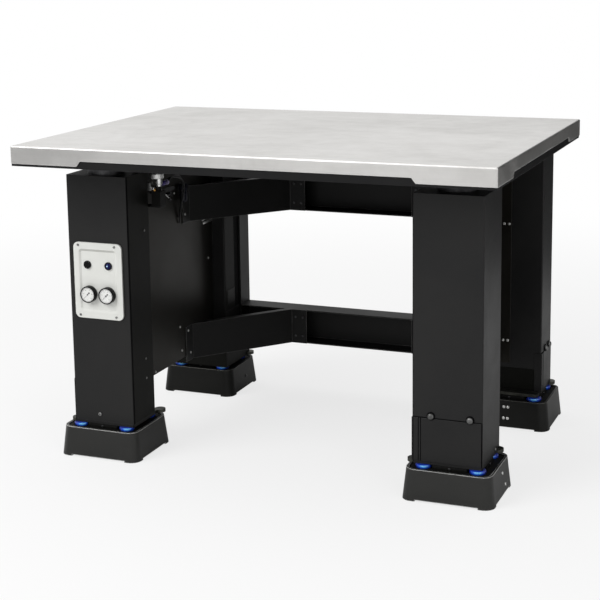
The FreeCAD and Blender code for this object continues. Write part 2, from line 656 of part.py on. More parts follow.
VALVE_X = f"(dims.valve_inward - {WEB})"
VALVE_Y = f"({FRONT_LEFT.rear} + dims.valve_back)"
VALVE_BOTTOM = f"({CORE_BOTTOM} - dims.valve_body_drop)"
VALVE_TOP = f"({VALVE_BOTTOM} + dims.valve_body_height)"
PAD_BOTTOM = f"({CORE_BOTTOM} - dims.valve_pad_drop)"


def upright_cylinder(name, x, y, radius, bottom, top):
    """Vertical cylinder between two levels."""
    return primitive("Cylinder", name, Radius=radius, Height=f"{top} - {bottom}", Placement__Base__x=x,
                     Placement__Base__y=y, Placement__Base__z=bottom)


def valve_bracket():
    """Folded bracket that carries the levelling valve on the left side plate."""
    body = new_body("valve_bracket")
    sheet = "dims.bracket_sheet"
    shelf = VALVE_BOTTOM
    end = f"({VALVE_X} + dims.valve_body_width / 2)"
    outline = new_sketch(body, "outline", "XZ_Plane", f"-{VALVE_Y} - dims.valve_body_depth / 2")
    add_polygon(outline, ((f"-{WEB}", f"{shelf} - dims.bracket_drop"),
                          (f"{sheet} - {WEB}", f"{shelf} - dims.bracket_drop"),
                          (f"{sheet} - {WEB}", f"{shelf} - {sheet}"), (end, f"{shelf} - {sheet}"),
                          (end, shelf), (f"-{WEB}", shelf)))
    add_pad(outline, "dims.valve_body_depth")
    return body


def valve_body():
    """Valve block with the stem that rises from it."""
    block = primitive("Box", "valve_block", Length="dims.valve_body_width", Width="dims.valve_body_depth",
                      Height="dims.valve_body_height",
                      Placement__Base__x=f"{VALVE_X} - dims.valve_body_width / 2",
                      Placement__Base__y=f"{VALVE_Y} - dims.valve_body_depth / 2",
                      Placement__Base__z=VALVE_BOTTOM)
    stem = upright_cylinder("valve_stem", VALVE_X, VALVE_Y, "dims.valve_stem_radius", VALVE_TOP, PAD_BOTTOM)
    return fuse("valve_body", [block, stem])


def valve_pad():
    """Round pad under the tabletop that the valve's stem feels, with its own stem up to the core."""
    pad_top = f"({PAD_BOTTOM} + dims.valve_pad_sheet)"
    pad = upright_cylinder("valve_pad_disc", VALVE_X, VALVE_Y, "dims.valve_pad_radius", PAD_BOTTOM, pad_top)
    stem = upright_cylinder("valve_pad_stem", VALVE_X, VALVE_Y, "dims.valve_stem_radius", pad_top, CORE_BOTTOM)
    return fuse("valve_pad", [pad, stem])


def valve_arm():
    """Arm that reaches back from the top of the valve."""
    arm = primitive("Box", "valve_arm", Length="dims.arm_width", Width="dims.arm_length",
                    Height="dims.arm_height", Placement__Base__x=f"{VALVE_X} - dims.arm_width / 2",
                    Placement__Base__y=f"{VALVE_Y} + dims.valve_body_depth / 2",
                    Placement__Base__z=f"{VALVE_TOP} - dims.arm_height")
    arm.Label = "valve_arm"
    return arm


def air_tube():
    """Air tube from the valve body back to an elbow fitting and on to the side plate."""
    level = f"({VALVE_BOTTOM} + dims.valve_body_height / 2)"
    begin = f"({VALVE_Y} + dims.valve_body_depth / 2)"
    corner = f"({begin} + dims.tube_run)"
    back = primitive("Cylinder", "tube_back", Radius="dims.tube_radius", Height="dims.tube_run")
    back.Placement = Placement(Vector(0, 0, 0), Rotation(Vector(1, 0, 0), -90))
    bind(back, Placement__Base__x=VALVE_X, Placement__Base__y=begin, Placement__Base__z=level)
    across = primitive("Cylinder", "tube_across", Radius="dims.tube_radius", Height="dims.valve_inward")
    across.Placement = Placement(Vector(0, 0, 0), Rotation(Vector(0, 1, 0), -90))
    bind(across, Placement__Base__x=VALVE_X, Placement__Base__y=corner, Placement__Base__z=level)
    elbow = upright_cylinder("tube_elbow", VALVE_X, corner, "dims.elbow_radius", f"({level} - dims.elbow_height / 2)",
                             f"({level} + dims.elbow_height / 2)")
    return fuse("air_tube", [back, across, elbow])


def build():
    """Make every sub-part and return them."""
    pieces = [tabletop_skin(), tabletop_core()]
    for corner in CORNERS:
        pieces += [leg(corner), base_plate(corner), foot(corner), isolator(corner)]
    pieces += [cover(place) for place in COVER_PLACES]
    pieces += [blue_discs(), thumb_screws()]
    pieces.append(side_plate("left", -1, FRONT_LEFT.rear, BACK_LEFT.front))
    pieces.append(side_plate("right", 1, FRONT_RIGHT.rear, BACK_RIGHT.front))
    pieces.append(rear_beam("upper_rear_beam", UPPER_BEAM))
    pieces.append(rear_beam("lower_rear_beam", LOWER_BEAM))
    for name, side in (("left", -1), ("right", 1)):
        pieces.append(upright(name, side))
        pieces.append(brace(f"upper_brace_{name}", side, UPPER_BEAM))
        pieces.append(brace(f"lower_brace_{name}", side, LOWER_BEAM))
    pieces += [control_panel(), panel_button("black_button", -1), panel_button("blue_button", 1)]
    pieces += gauges()
    pieces += [valve_bracket(), valve_body(), valve_pad(), valve_arm(), air_tube()]
    return pieces


def check(pieces):
    """Stop on any object that failed and any shape that isn't sound."""
    for item in doc.Objects:
        if "Invalid" in item.State or "Error" in item.State:
            raise RuntimeError(f"{item.Name} failed: {item.State}")
    for piece in pieces:
        shape = piece.Shape
        if shape.isNull() or not shape.isValid() or not shape.Solids:
            raise RuntimeError(f"{piece.Label} has no sound shape")
        print(f"{piece.Label}: {len(shape.Solids)} solids, {shape.Volume / 1000:.1f} cm3")


parts = build()
doc.recompute()
check(parts)
os.makedirs("parts", exist_ok=True)
for piece in parts:
    piece.Shape.exportStep(f"parts/{piece.Label}.step")
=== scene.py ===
"""Looks of a vibration isolation laboratory bench with a stainless tabletop on four isolator legs.

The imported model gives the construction. This script dresses each of its surfaces, adds the screws, fittings,
gauge dials and elastomer discs, and sets the floor, the lamps and the camera. Lengths are in metres.
"""
import logging
import math
from dataclasses import dataclass
from enum import Enum
from functools import cached_property
from typing import Callable, Sequence

import bmesh
import bpy
from mathutils import Matrix, Vector


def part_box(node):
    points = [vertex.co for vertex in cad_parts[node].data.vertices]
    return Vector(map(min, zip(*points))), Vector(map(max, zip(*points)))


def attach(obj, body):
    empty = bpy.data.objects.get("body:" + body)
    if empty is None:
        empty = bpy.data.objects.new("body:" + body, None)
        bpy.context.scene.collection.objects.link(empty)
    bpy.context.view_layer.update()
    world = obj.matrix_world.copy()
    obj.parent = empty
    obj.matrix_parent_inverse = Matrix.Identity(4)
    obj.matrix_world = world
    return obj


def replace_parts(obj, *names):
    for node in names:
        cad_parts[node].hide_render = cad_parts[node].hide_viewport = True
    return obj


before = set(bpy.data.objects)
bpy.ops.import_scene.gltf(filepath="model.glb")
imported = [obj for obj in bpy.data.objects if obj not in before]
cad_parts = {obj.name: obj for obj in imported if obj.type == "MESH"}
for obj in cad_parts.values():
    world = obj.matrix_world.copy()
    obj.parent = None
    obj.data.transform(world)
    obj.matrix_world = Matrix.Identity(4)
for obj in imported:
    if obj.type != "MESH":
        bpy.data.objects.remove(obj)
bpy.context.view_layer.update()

LOG = logging.getLogger("bench")
BODY = "root"
CORNERS = ("front_left", "front_right", "back_left", "back_right")
HERE = Matrix.Identity(4)
WHITE = (1.0, 1.0, 1.0)
CREASE = math.radians(38)
HEXAGON_SECTOR = math.tau / 6
SCREW_TURN = 1.7
Colour = tuple[float, float, float]
Spot = tuple[float, float]
Place = Vector | tuple[float, float, float]
Profile = Sequence[Spot]
Socket = bpy.types.NodeSocket
Inputs = dict[str | int, object]
Piece = bpy.types.Object
Pieces = list[Piece]


class Facing(Enum):
    """Outward directions of the faces that fittings sit on."""

    FRONT = (0.0, -1.0, 0.0)
    BACK = (0.0, 1.0, 0.0)
    LEFT = (-1.0, 0.0, 0.0)
    RIGHT = (1.0, 0.0, 0.0)


class Graph:
    """Node tree of a material or the world, with short calls for the nodes that are shared."""

    def __init__(self, holder: bpy.types.Material | bpy.types.World) -> None:
        """Empty the tree that a material or a world holds."""
        holder.use_nodes = True
        self.tree = holder.node_tree
        self.tree.nodes.clear()

    def node(self, kind: str, inputs: Inputs | None = None, **settings: object) -> bpy.types.Node:
        """Add a node.

        Args:
            kind: Blender's type name of the node, without its first word.
            inputs: what its inputs take, each a socket, a number, a vector or a colour.
            settings: properties set on it.

        Returns:
            The new node.
        """
        made = self.tree.nodes.new(f"ShaderNode{kind}")
        for name, value in settings.items():
            setattr(made, name, value)
        for name, value in (inputs or {}).items():
            target = made.inputs[name]
            if isinstance(value, Socket):
                self.tree.links.new(value, target)
            else:
                target.default_value = (*value, 1.0) if target.type == "RGBA" else value
        return made

    @cached_property
    def position(self) -> Socket:
        """Object coordinates."""
        return self.node("TexCoord").outputs["Object"]

    def stretched(self, *scale: float) -> Socket:
        """Object coordinates with a factor along each axis."""
        return self.node("Mapping", {"Vector": self.position, "Scale": scale}).outputs["Vector"]

    def noise(self, scale: float, detail: float, roughness: float, place: Socket | None = None,
              warp: float = 0.0) -> Socket:
        """Noise between 0 and 1, with so many waves for each metre of a place or else of the object."""
        return self.node("TexNoise", {"Vector": place or self.position, "Scale": scale, "Detail": detail,
                                      "Roughness": roughness, "Distortion": warp}).outputs["Fac"]

    def cells(self, scale: float) -> Socket:
        """Distance to the middles of cells, with so many cells for each metre."""
        return self.node("TexVoronoi", {"Vector": self.position, "Scale": scale}).outputs["Distance"]

    def span(self, value: Socket, low: float, high: float, start: object = 0.0, end: object = 1.0,
             curve: str = "LINEAR") -> Socket:
        """Number that goes from start, where the value is low, to end, where it is high, and stays there."""
        return self.node("MapRange", {"Value": value, "From Min": low, "From Max": high, "To Min": start,
                                      "To Max": end}, clamp=True, interpolation_type=curve).outputs["Result"]

    def maths(self, kind: str, *values: object) -> Socket:
        """Result of Blender's operation of that name on sockets or numbers."""
        return self.node("Math", dict(enumerate(values)), operation=kind).outputs["Value"]

    def vectors(self, kind: str, *values: object) -> Socket:
        """Number that Blender's vector operation of that name gives."""
        return self.node("VectorMath", dict(enumerate(values)), operation=kind).outputs["Value"]

    def mix(self, factor: object, first: object, second: object) -> Socket:
        """Blend of two colours by the share that the second one has."""
        return self.node("Mix", {"Factor": factor, 6: first, 7: second}, data_type="RGBA").outputs[2]

    def rounded(self, radius: float) -> Socket:
        """Normal that turns softly round the edges of sharp sheet metal."""
        return self.node("Bevel", {"Radius": radius}, samples=4).outputs["Normal"]

    def worn(self, colour: Socket, edge: Colour, radius: float, share: float) -> tuple[Socket, Socket]:
        """Paint a highlight along the edges, where a rounded normal leaves the flat one.

        Args:
            colour: colour of the flat parts.
            edge: colour of the painted highlight.
            radius: rounding of the edges.
            share: how much of the painted highlight shows.

        Returns:
            The colour and the rounded normal.
        """
        normal = self.rounded(radius)
        flat = self.node("NewGeometry").outputs["True Normal"]
        # Mask of the rounded edges, where the painted highlight goes.
        highlight_mask = self.span(self.vectors("DOT_PRODUCT", normal, flat), 0.995, 0.86)
        return self.mix(self.maths("MULTIPLY", highlight_mask, share), colour, edge), normal

    def relief(self, height: Socket, strength: float, depth: float, normal: Socket | None = None) -> Socket:
        """Bump from a height.

        Args:
            height: the height pattern.
            strength: how much of the bump shows.
            depth: height of the pattern in metres.
            normal: the normal beneath it.

        Returns:
            The bumped normal.
        """
        inputs = {"Strength": strength, "Distance": depth, "Height": height}
        if normal is not None:
            inputs["Normal"] = normal
        return self.node("Bump", inputs).outputs["Normal"]

    def show(self, shader: bpy.types.Node, kind: str = "Material") -> None:
        """Show a shader on the surface of a material or of the world."""
        self.node(f"Output{kind}", {"Surface": shader.outputs[0]})

    def coat(self, colour: Socket, roughness: Socket, normal: Socket | None = None, **values: object) -> None:
        """Show a principled shader.

        Args:
            colour: its base colour.
            roughness: its roughness.
            normal: its normal.
            values: its other inputs, with an underscore for each space in their names.
        """
        inputs: Inputs = {name.replace("_", " "): value for name, value in values.items()}
        inputs |= {"Base Color": colour, "Roughness": roughness}
        if normal is not None:
            inputs["Normal"] = normal
        self.show(self.node("BsdfPrincipled", inputs))


@dataclass(frozen=True)
class Finish:
    """What every finish has: a name, and a way to paint its material once."""

    name: str

    def paint(self, graph: Graph) -> None:
        """Fill the tree of the material."""
        raise NotImplementedError

    def material(self) -> bpy.types.Material:
        """Material of this finish, made at its first use."""
        known = bpy.data.materials.get(self.name)
        if known is None:
            known = bpy.data.materials.new(self.name)
            self.paint(Graph(known))
        return known


@dataclass(frozen=True)
class BrushedStainless(Finish):
    """Stainless sheet with a fine brush along the bench, cloudy from handling."""

    dull: Colour = (0.500, 0.492, 0.477)
    clean: Colour = (0.725, 0.717, 0.701)
    # Colour of the painted highlight along the folds.
    edge: Colour = (0.98, 0.98, 0.97)
    fold: float = 0.0022

    def paint(self, graph: Graph) -> None:
        """Streaks, clouds and a few dull smudges, with a painted highlight along the folds."""
        streaks = graph.noise(1.0, 3.0, 0.62, graph.stretched(5.0, 620.0, 620.0))
        drags = graph.noise(1.0, 2.0, 0.5, graph.stretched(2.2, 95.0, 95.0))
        clouds = graph.noise(3.1, 5.0, 0.58, warp=0.7)
        mottle = graph.noise(17.0, 4.0, 0.6, warp=0.4)
        smudges = graph.noise(1.0, 3.0, 0.6, graph.stretched(9.0, 26.0, 26.0))
        tone: object = 0.0
        for pattern, low, high, share in ((clouds, 0.32, 0.68, 0.52), (mottle, 0.3, 0.7, 0.26),
                                          (streaks, 0.25, 0.75, 0.14), (drags, 0.3, 0.7, 0.10)):
            tone = graph.maths("ADD", tone, graph.span(pattern, low, high, 0.0, share))
        colour = graph.mix(tone, self.dull, self.clean)
        colour = graph.mix(graph.span(smudges, 0.66, 0.80, 0.0, 0.42), colour, self.dull)
        # Painted highlight along the folds of the tray.
        colour, normal = graph.worn(colour, self.edge, self.fold, 0.85)
        gloss = graph.span(graph.maths("ADD", clouds, mottle), 0.75, 1.25, 0.47, 0.36)
        graph.coat(colour, gloss, graph.relief(streaks, 0.10, 0.0002, normal), Metallic=1.0, IOR=1.45)


@dataclass(frozen=True)
class PowderCoat(Finish):
    """Black powder coat: satin, with orange peel, faint dust and a painted highlight along its edges."""

    base: Colour = (0.0072, 0.0072, 0.0075)
    dusty: Colour = (0.0135, 0.0132, 0.0128)
    # Colour of the dust specks and of the painted highlight along the folds.
    edge: Colour = (0.050, 0.050, 0.051)
    fold: float = 0.0014
    peel: float = 620.0
    peel_strength: float = 0.16
    gloss: Spot = (0.44, 0.56)
    specular: float = 0.24
    tint: Colour = WHITE
    # Share of the painted highlight along the edges.
    edge_highlight_share: float = 0.75

    def paint(self, graph: Graph) -> None:
        """Orange peel bump, soft clouds of dust and a painted highlight along the folds."""
        peel = graph.noise(self.peel, 2.0, 0.45)
        clouds = graph.noise(4.3, 4.0, 0.6, warp=0.5)
        colour = graph.mix(graph.span(clouds, 0.3, 0.7, 0.0, 0.55), self.base, self.dusty)
        colour = graph.mix(graph.span(graph.cells(430.0), 0.085, 0.055, 0.0, 0.30), colour, self.edge)
        # Painted highlight along the folds.
        colour, normal = graph.worn(colour, self.edge, self.fold, self.edge_highlight_share)
        graph.coat(colour, graph.span(clouds, 0.3, 0.7, *self.gloss),
                   graph.relief(peel, self.peel_strength, 0.0003, normal),
                   Specular_IOR_Level=self.specular, Specular_Tint=self.tint)


@dataclass(frozen=True)
class Elastomer(Finish):
    """Translucent blue elastomer with faint moulding rings."""

    deep: Colour = (0.002, 0.014, 0.24)
    middle: Colour = (0.009, 0.095, 0.70)
    # Colour of the painted glow where the disc is looked into.
    light: Colour = (0.150, 0.580, 1.0)

    def paint(self, graph: Graph) -> None:
        """Deep blue at the rim of what is seen and a painted glow where it is looked into, under a soft gloss.
        """
        clouds = graph.noise(46.0, 3.0, 0.55)
        rings = graph.noise(1.0, 1.0, 0.4, graph.stretched(12.0, 12.0, 620.0))
        turned = graph.node("LayerWeight").outputs["Facing"]
        colour = graph.mix(graph.span(turned, 0.14, 0.55), self.middle, self.deep)
        # Painted glow, strongest where the surface faces the eye.
        painted_glow = graph.maths("MULTIPLY", graph.span(turned, 0.17, 0.02),
                           graph.span(clouds, 0.25, 0.60, 0.55, 1.0))
        graph.coat(graph.mix(painted_glow, colour, self.light), graph.span(clouds, 0.3, 0.7, 0.24, 0.38),
                   graph.relief(rings, 0.22, 0.0004), Subsurface_Weight=0.08, Subsurface_Scale=0.003,
                   Subsurface_Radius=(0.2, 0.5, 1.0), Coat_Weight=0.5, Coat_Roughness=0.12)


@dataclass(frozen=True)
class SatinPaint(Finish):
    """Light enamel on the control panel, a little yellowed and scuffed at its edges."""

    base: Colour = (0.700, 0.705, 0.672)
    worn: Colour = (0.600, 0.600, 0.570)
    # Painted shade on the slopes of the panel that look down or to the right.
    painted_shade: Colour = (0.330, 0.330, 0.305)
    shaded_side: Colour = (0.45, 0.0, -1.0)
    fold: float = 0.0012

    def paint(self, graph: Graph) -> None:
        """Fine peel, soft tone changes and painted shade on the slopes that look down or to the right."""
        clouds = graph.noise(22.0, 4.0, 0.6, warp=0.5)
        scuffs = graph.noise(1.0, 3.0, 0.65, graph.stretched(320.0, 60.0, 46.0))
        colour = graph.mix(graph.span(clouds, 0.35, 0.8, 0.0, 0.35), self.base, self.worn)
        colour = graph.mix(graph.span(scuffs, 0.68, 0.82, 0.0, 0.30), colour, self.worn)
        # Painted shade, darker the more a face looks down and to the right.
        slope = graph.vectors("DOT_PRODUCT", graph.node("TexCoord").outputs["Normal"], self.shaded_side)
        painted_shade_share = graph.maths("MULTIPLY", graph.span(slope, 0.06, 0.26, 0.0, 0.75),
                           graph.span(clouds, 0.2, 0.7, 0.6, 1.0))
        graph.coat(graph.mix(painted_shade_share, colour, self.painted_shade), graph.span(clouds, 0.3, 0.7, 0.32, 0.44),
                   graph.relief(graph.noise(850.0, 2.0, 0.5), 0.08, 0.0002, graph.rounded(self.fold)),
                   Specular_IOR_Level=0.45)


@dataclass(frozen=True)
class Plastic(Finish):
    """Moulded plastic with scuffs in its gloss."""

    base: Colour
    light: Colour
    gloss: Spot = (0.16, 0.32)
    specular: float = 0.5

    def paint(self, graph: Graph) -> None:
        """Slight flow marks in colour and gloss, with a faint grain."""
        flow = graph.noise(90.0, 4.0, 0.6, warp=0.8)
        graph.coat(graph.mix(graph.span(flow, 0.3, 0.72), self.base, self.light),
                   graph.span(flow, 0.3, 0.7, *self.gloss),
                   graph.relief(graph.noise(1500.0, 2.0, 0.5), 0.05, 0.0001),
                   Specular_IOR_Level=self.specular)


@dataclass(frozen=True)
class Metal(Finish):
    """Small metal parts: screws, fittings and machined blocks."""

    dark: Colour
    light: Colour
    gloss: Spot = (0.22, 0.42)
    turning: float = 900.0

    def paint(self, graph: Graph) -> None:
        """Crystals of the plating, fine tool marks and a painted highlight along the edges."""
        clouds = graph.noise(70.0, 4.0, 0.6, warp=0.6)
        marks = graph.noise(1.0, 2.0, 0.5, graph.stretched(self.turning, self.turning, 60.0))
        tone = graph.maths("MULTIPLY", graph.span(clouds, 0.25, 0.7),
                           graph.span(graph.cells(260.0), 0.0, 0.7, 0.7, 1.0))
        # Painted highlight along the edges.
        colour, normal = graph.worn(graph.mix(tone, self.dark, self.light), self.light, 0.0004, 0.5)
        graph.coat(colour, graph.span(clouds, 0.3, 0.7, *self.gloss),
                   graph.relief(marks, 0.12, 0.0001, normal), Metallic=1.0)


@dataclass(frozen=True)
class DialCard(Finish):
    """Printed card of a gauge: off white with a fine tooth."""

    base: Colour = (0.80, 0.80, 0.78)
    shade: Colour = (0.70, 0.69, 0.66)

    def paint(self, graph: Graph) -> None:
        """Fibres and faint ageing."""
        fibre = graph.noise(1300.0, 3.0, 0.6)
        age = graph.span(graph.noise(60.0, 3.0, 0.6), 0.35, 0.8, 0.0, 0.7)
        graph.coat(graph.mix(age, self.base, self.shade), graph.span(fibre, 0.3, 0.7, 0.55, 0.75),
                   graph.relief(fibre, 0.10, 0.0001))


@dataclass(frozen=True)
class Ink(Finish):
    """Printed black of the dial marks, thinner in places."""

    base: Colour = (0.015, 0.015, 0.016)
    thin: Colour = (0.055, 0.055, 0.060)

    def paint(self, graph: Graph) -> None:
        """Uneven cover of the print."""
        cover = graph.noise(900.0, 3.0, 0.6)
        graph.coat(graph.mix(graph.span(cover, 0.4, 0.8), self.base, self.thin),
                   graph.span(cover, 0.3, 0.7, 0.40, 0.60))


@dataclass(frozen=True)
class ClearWindow(Finish):
    """Acrylic window of a gauge: hardly there, with a gloss and faint smears."""

    tint: Colour = (0.93, 0.95, 0.95)
    smeared: Colour = (0.85, 0.87, 0.87)

    def paint(self, graph: Graph) -> None:
        """Mostly open, with smears in its gloss."""
        smears = graph.noise(70.0, 4.0, 0.6, warp=1.0)
        graph.coat(graph.mix(graph.span(smears, 0.3, 0.8, 0.0, 0.4), self.tint, self.smeared),
                   graph.span(smears, 0.3, 0.8, 0.03, 0.14), Alpha=0.13, Specular_IOR_Level=0.9)


STAINLESS = BrushedStainless("brushed_stainless")
POWDER = PowderCoat("black_powder_coat")
HOUSING = PowderCoat("housing_powder_coat", dusty=(0.0155, 0.0150, 0.0143), gloss=(0.42, 0.54))
SIDE = PowderCoat("side_powder_coat", (0.0080, 0.0076, 0.0066), (0.0165, 0.0156, 0.0132), gloss=(0.32, 0.44),
                  specular=0.18, tint=(1.0, 0.93, 0.82))
INNER_SHEET = PowderCoat("inner_sheet_coat", (0.0042, 0.0042, 0.0037), (0.0092, 0.0090, 0.0078),
                         specular=0.13)
# Beams and braces: the light edge colour is a painted highlight along their top edges.
BEAM = PowderCoat("beam_powder_coat", (0.0066, 0.0066, 0.0066), edge=(0.30, 0.30, 0.29), fold=0.0016,
                  specular=0.20)
INNER_STRIP = PowderCoat("inner_powder_coat", (0.0040, 0.0041, 0.0034), (0.0080, 0.0081, 0.0066),
                         gloss=(0.50, 0.62), specular=0.09)
CORE = PowderCoat("core_paint", (0.006, 0.006, 0.0063), (0.011, 0.011, 0.011), gloss=(0.42, 0.54),
                  specular=0.16)
# Front feet: the near-white edge colour is a painted highlight along the rims.
CASTING = PowderCoat("textured_casting", (0.0092, 0.0093, 0.0084), (0.0180, 0.0178, 0.0160),
                     (0.85, 0.85, 0.83), 0.0028, 420.0, 0.30, (0.32, 0.46), 0.36, edge_highlight_share=0.95)
# Darker copy of the casting for the back feet: painted shade under the bench.
CASTING_SHADED = PowderCoat("textured_casting_painted_shade", (0.0030, 0.0031, 0.0026), (0.0078, 0.0078, 0.0066),
                          (0.30, 0.30, 0.28), 0.0022, 420.0, 0.30, (0.34, 0.48), 0.20)
BLUE_DISC = Elastomer("translucent_elastomer")
PANEL_PAINT = SatinPaint("panel_enamel")
BLACK_PLASTIC = Plastic("black_plastic", (0.003, 0.003, 0.0033), (0.007, 0.007, 0.0075), (0.26, 0.38), 0.12)
BLUE_LENS = Plastic("blue_lens", (0.0005, 0.0012, 0.026), (0.0020, 0.0080, 0.120), (0.06, 0.12), 0.15)
# Pale spot on the blue lens: a painted glint.
LENS_GLINT = Plastic("painted_lens_glint", (0.34, 0.62, 0.92), (0.62, 0.84, 1.0), (0.10, 0.20))
BEZEL = Plastic("button_bezel", (0.006, 0.006, 0.007), (0.014, 0.014, 0.016), (0.20, 0.32), 0.3)
GAUGE_PLASTIC = Plastic("gauge_case_plastic", (0.0022, 0.0022, 0.0024), (0.0050, 0.0050, 0.0054),
                        (0.16, 0.26), 0.14)
GAP = Plastic("gap_black", (0.0010, 0.0010, 0.0011), (0.0024, 0.0024, 0.0026), (0.70, 0.85), 0.06)
RUBBER = Plastic("damper_rubber", (0.0022, 0.0022, 0.0020), (0.0055, 0.0055, 0.0048), (0.58, 0.74), 0.12)
VIOLET_PLASTIC = Plastic("violet_fitting", (0.20, 0.17, 0.36), (0.42, 0.38, 0.56), (0.26, 0.40))
DEEP_VIOLET = Plastic("deep_violet_fitting", (0.024, 0.014, 0.105), (0.062, 0.042, 0.20), specular=0.25)
BOWL = Plastic("filter_bowl_plastic", (0.0020, 0.0024, 0.0060), (0.0055, 0.0065, 0.0150), (0.22, 0.34), 0.22)
HOSE = Plastic("black_tube", (0.0040, 0.0040, 0.0044), (0.0100, 0.0100, 0.0110), (0.34, 0.48), 0.28)
ZINC = Metal("zinc_screws", (0.50, 0.50, 0.49), (0.86, 0.86, 0.84))
DULL_STEEL = Metal("dull_steel", (0.13, 0.13, 0.13), (0.31, 0.31, 0.305), (0.38, 0.52))
THUMB_STEEL = Metal("thumb_screw_steel", (0.060, 0.060, 0.060), (0.190, 0.190, 0.187), (0.34, 0.48))
# Darker copy of the zinc screws: painted shade.
SHADED_ZINC = Metal("zinc_screws_painted_shade", (0.045, 0.045, 0.047), (0.15, 0.15, 0.15), (0.30, 0.45))
BLACK_OXIDE = Metal("blackened_steel", (0.030, 0.030, 0.032), (0.095, 0.095, 0.098), (0.32, 0.46))
PHOSPHATE = Metal("phosphated_plate", (0.030, 0.031, 0.027), (0.085, 0.086, 0.076), (0.40, 0.56))
PAD_METAL = Metal("pad_metal", (0.80, 0.80, 0.79), (0.95, 0.95, 0.94), (0.52, 0.64))
ALUMINIUM = Metal("machined_aluminium", (0.58, 0.58, 0.58), (0.88, 0.88, 0.87), (0.20, 0.34))
BRASS = Metal("brass_fitting", (0.48, 0.20, 0.045), (0.86, 0.46, 0.12), (0.20, 0.34))
DIAL = DialCard("dial_card")
DIAL_INK = Ink("dial_ink")
WINDOW = ClearWindow("gauge_window")


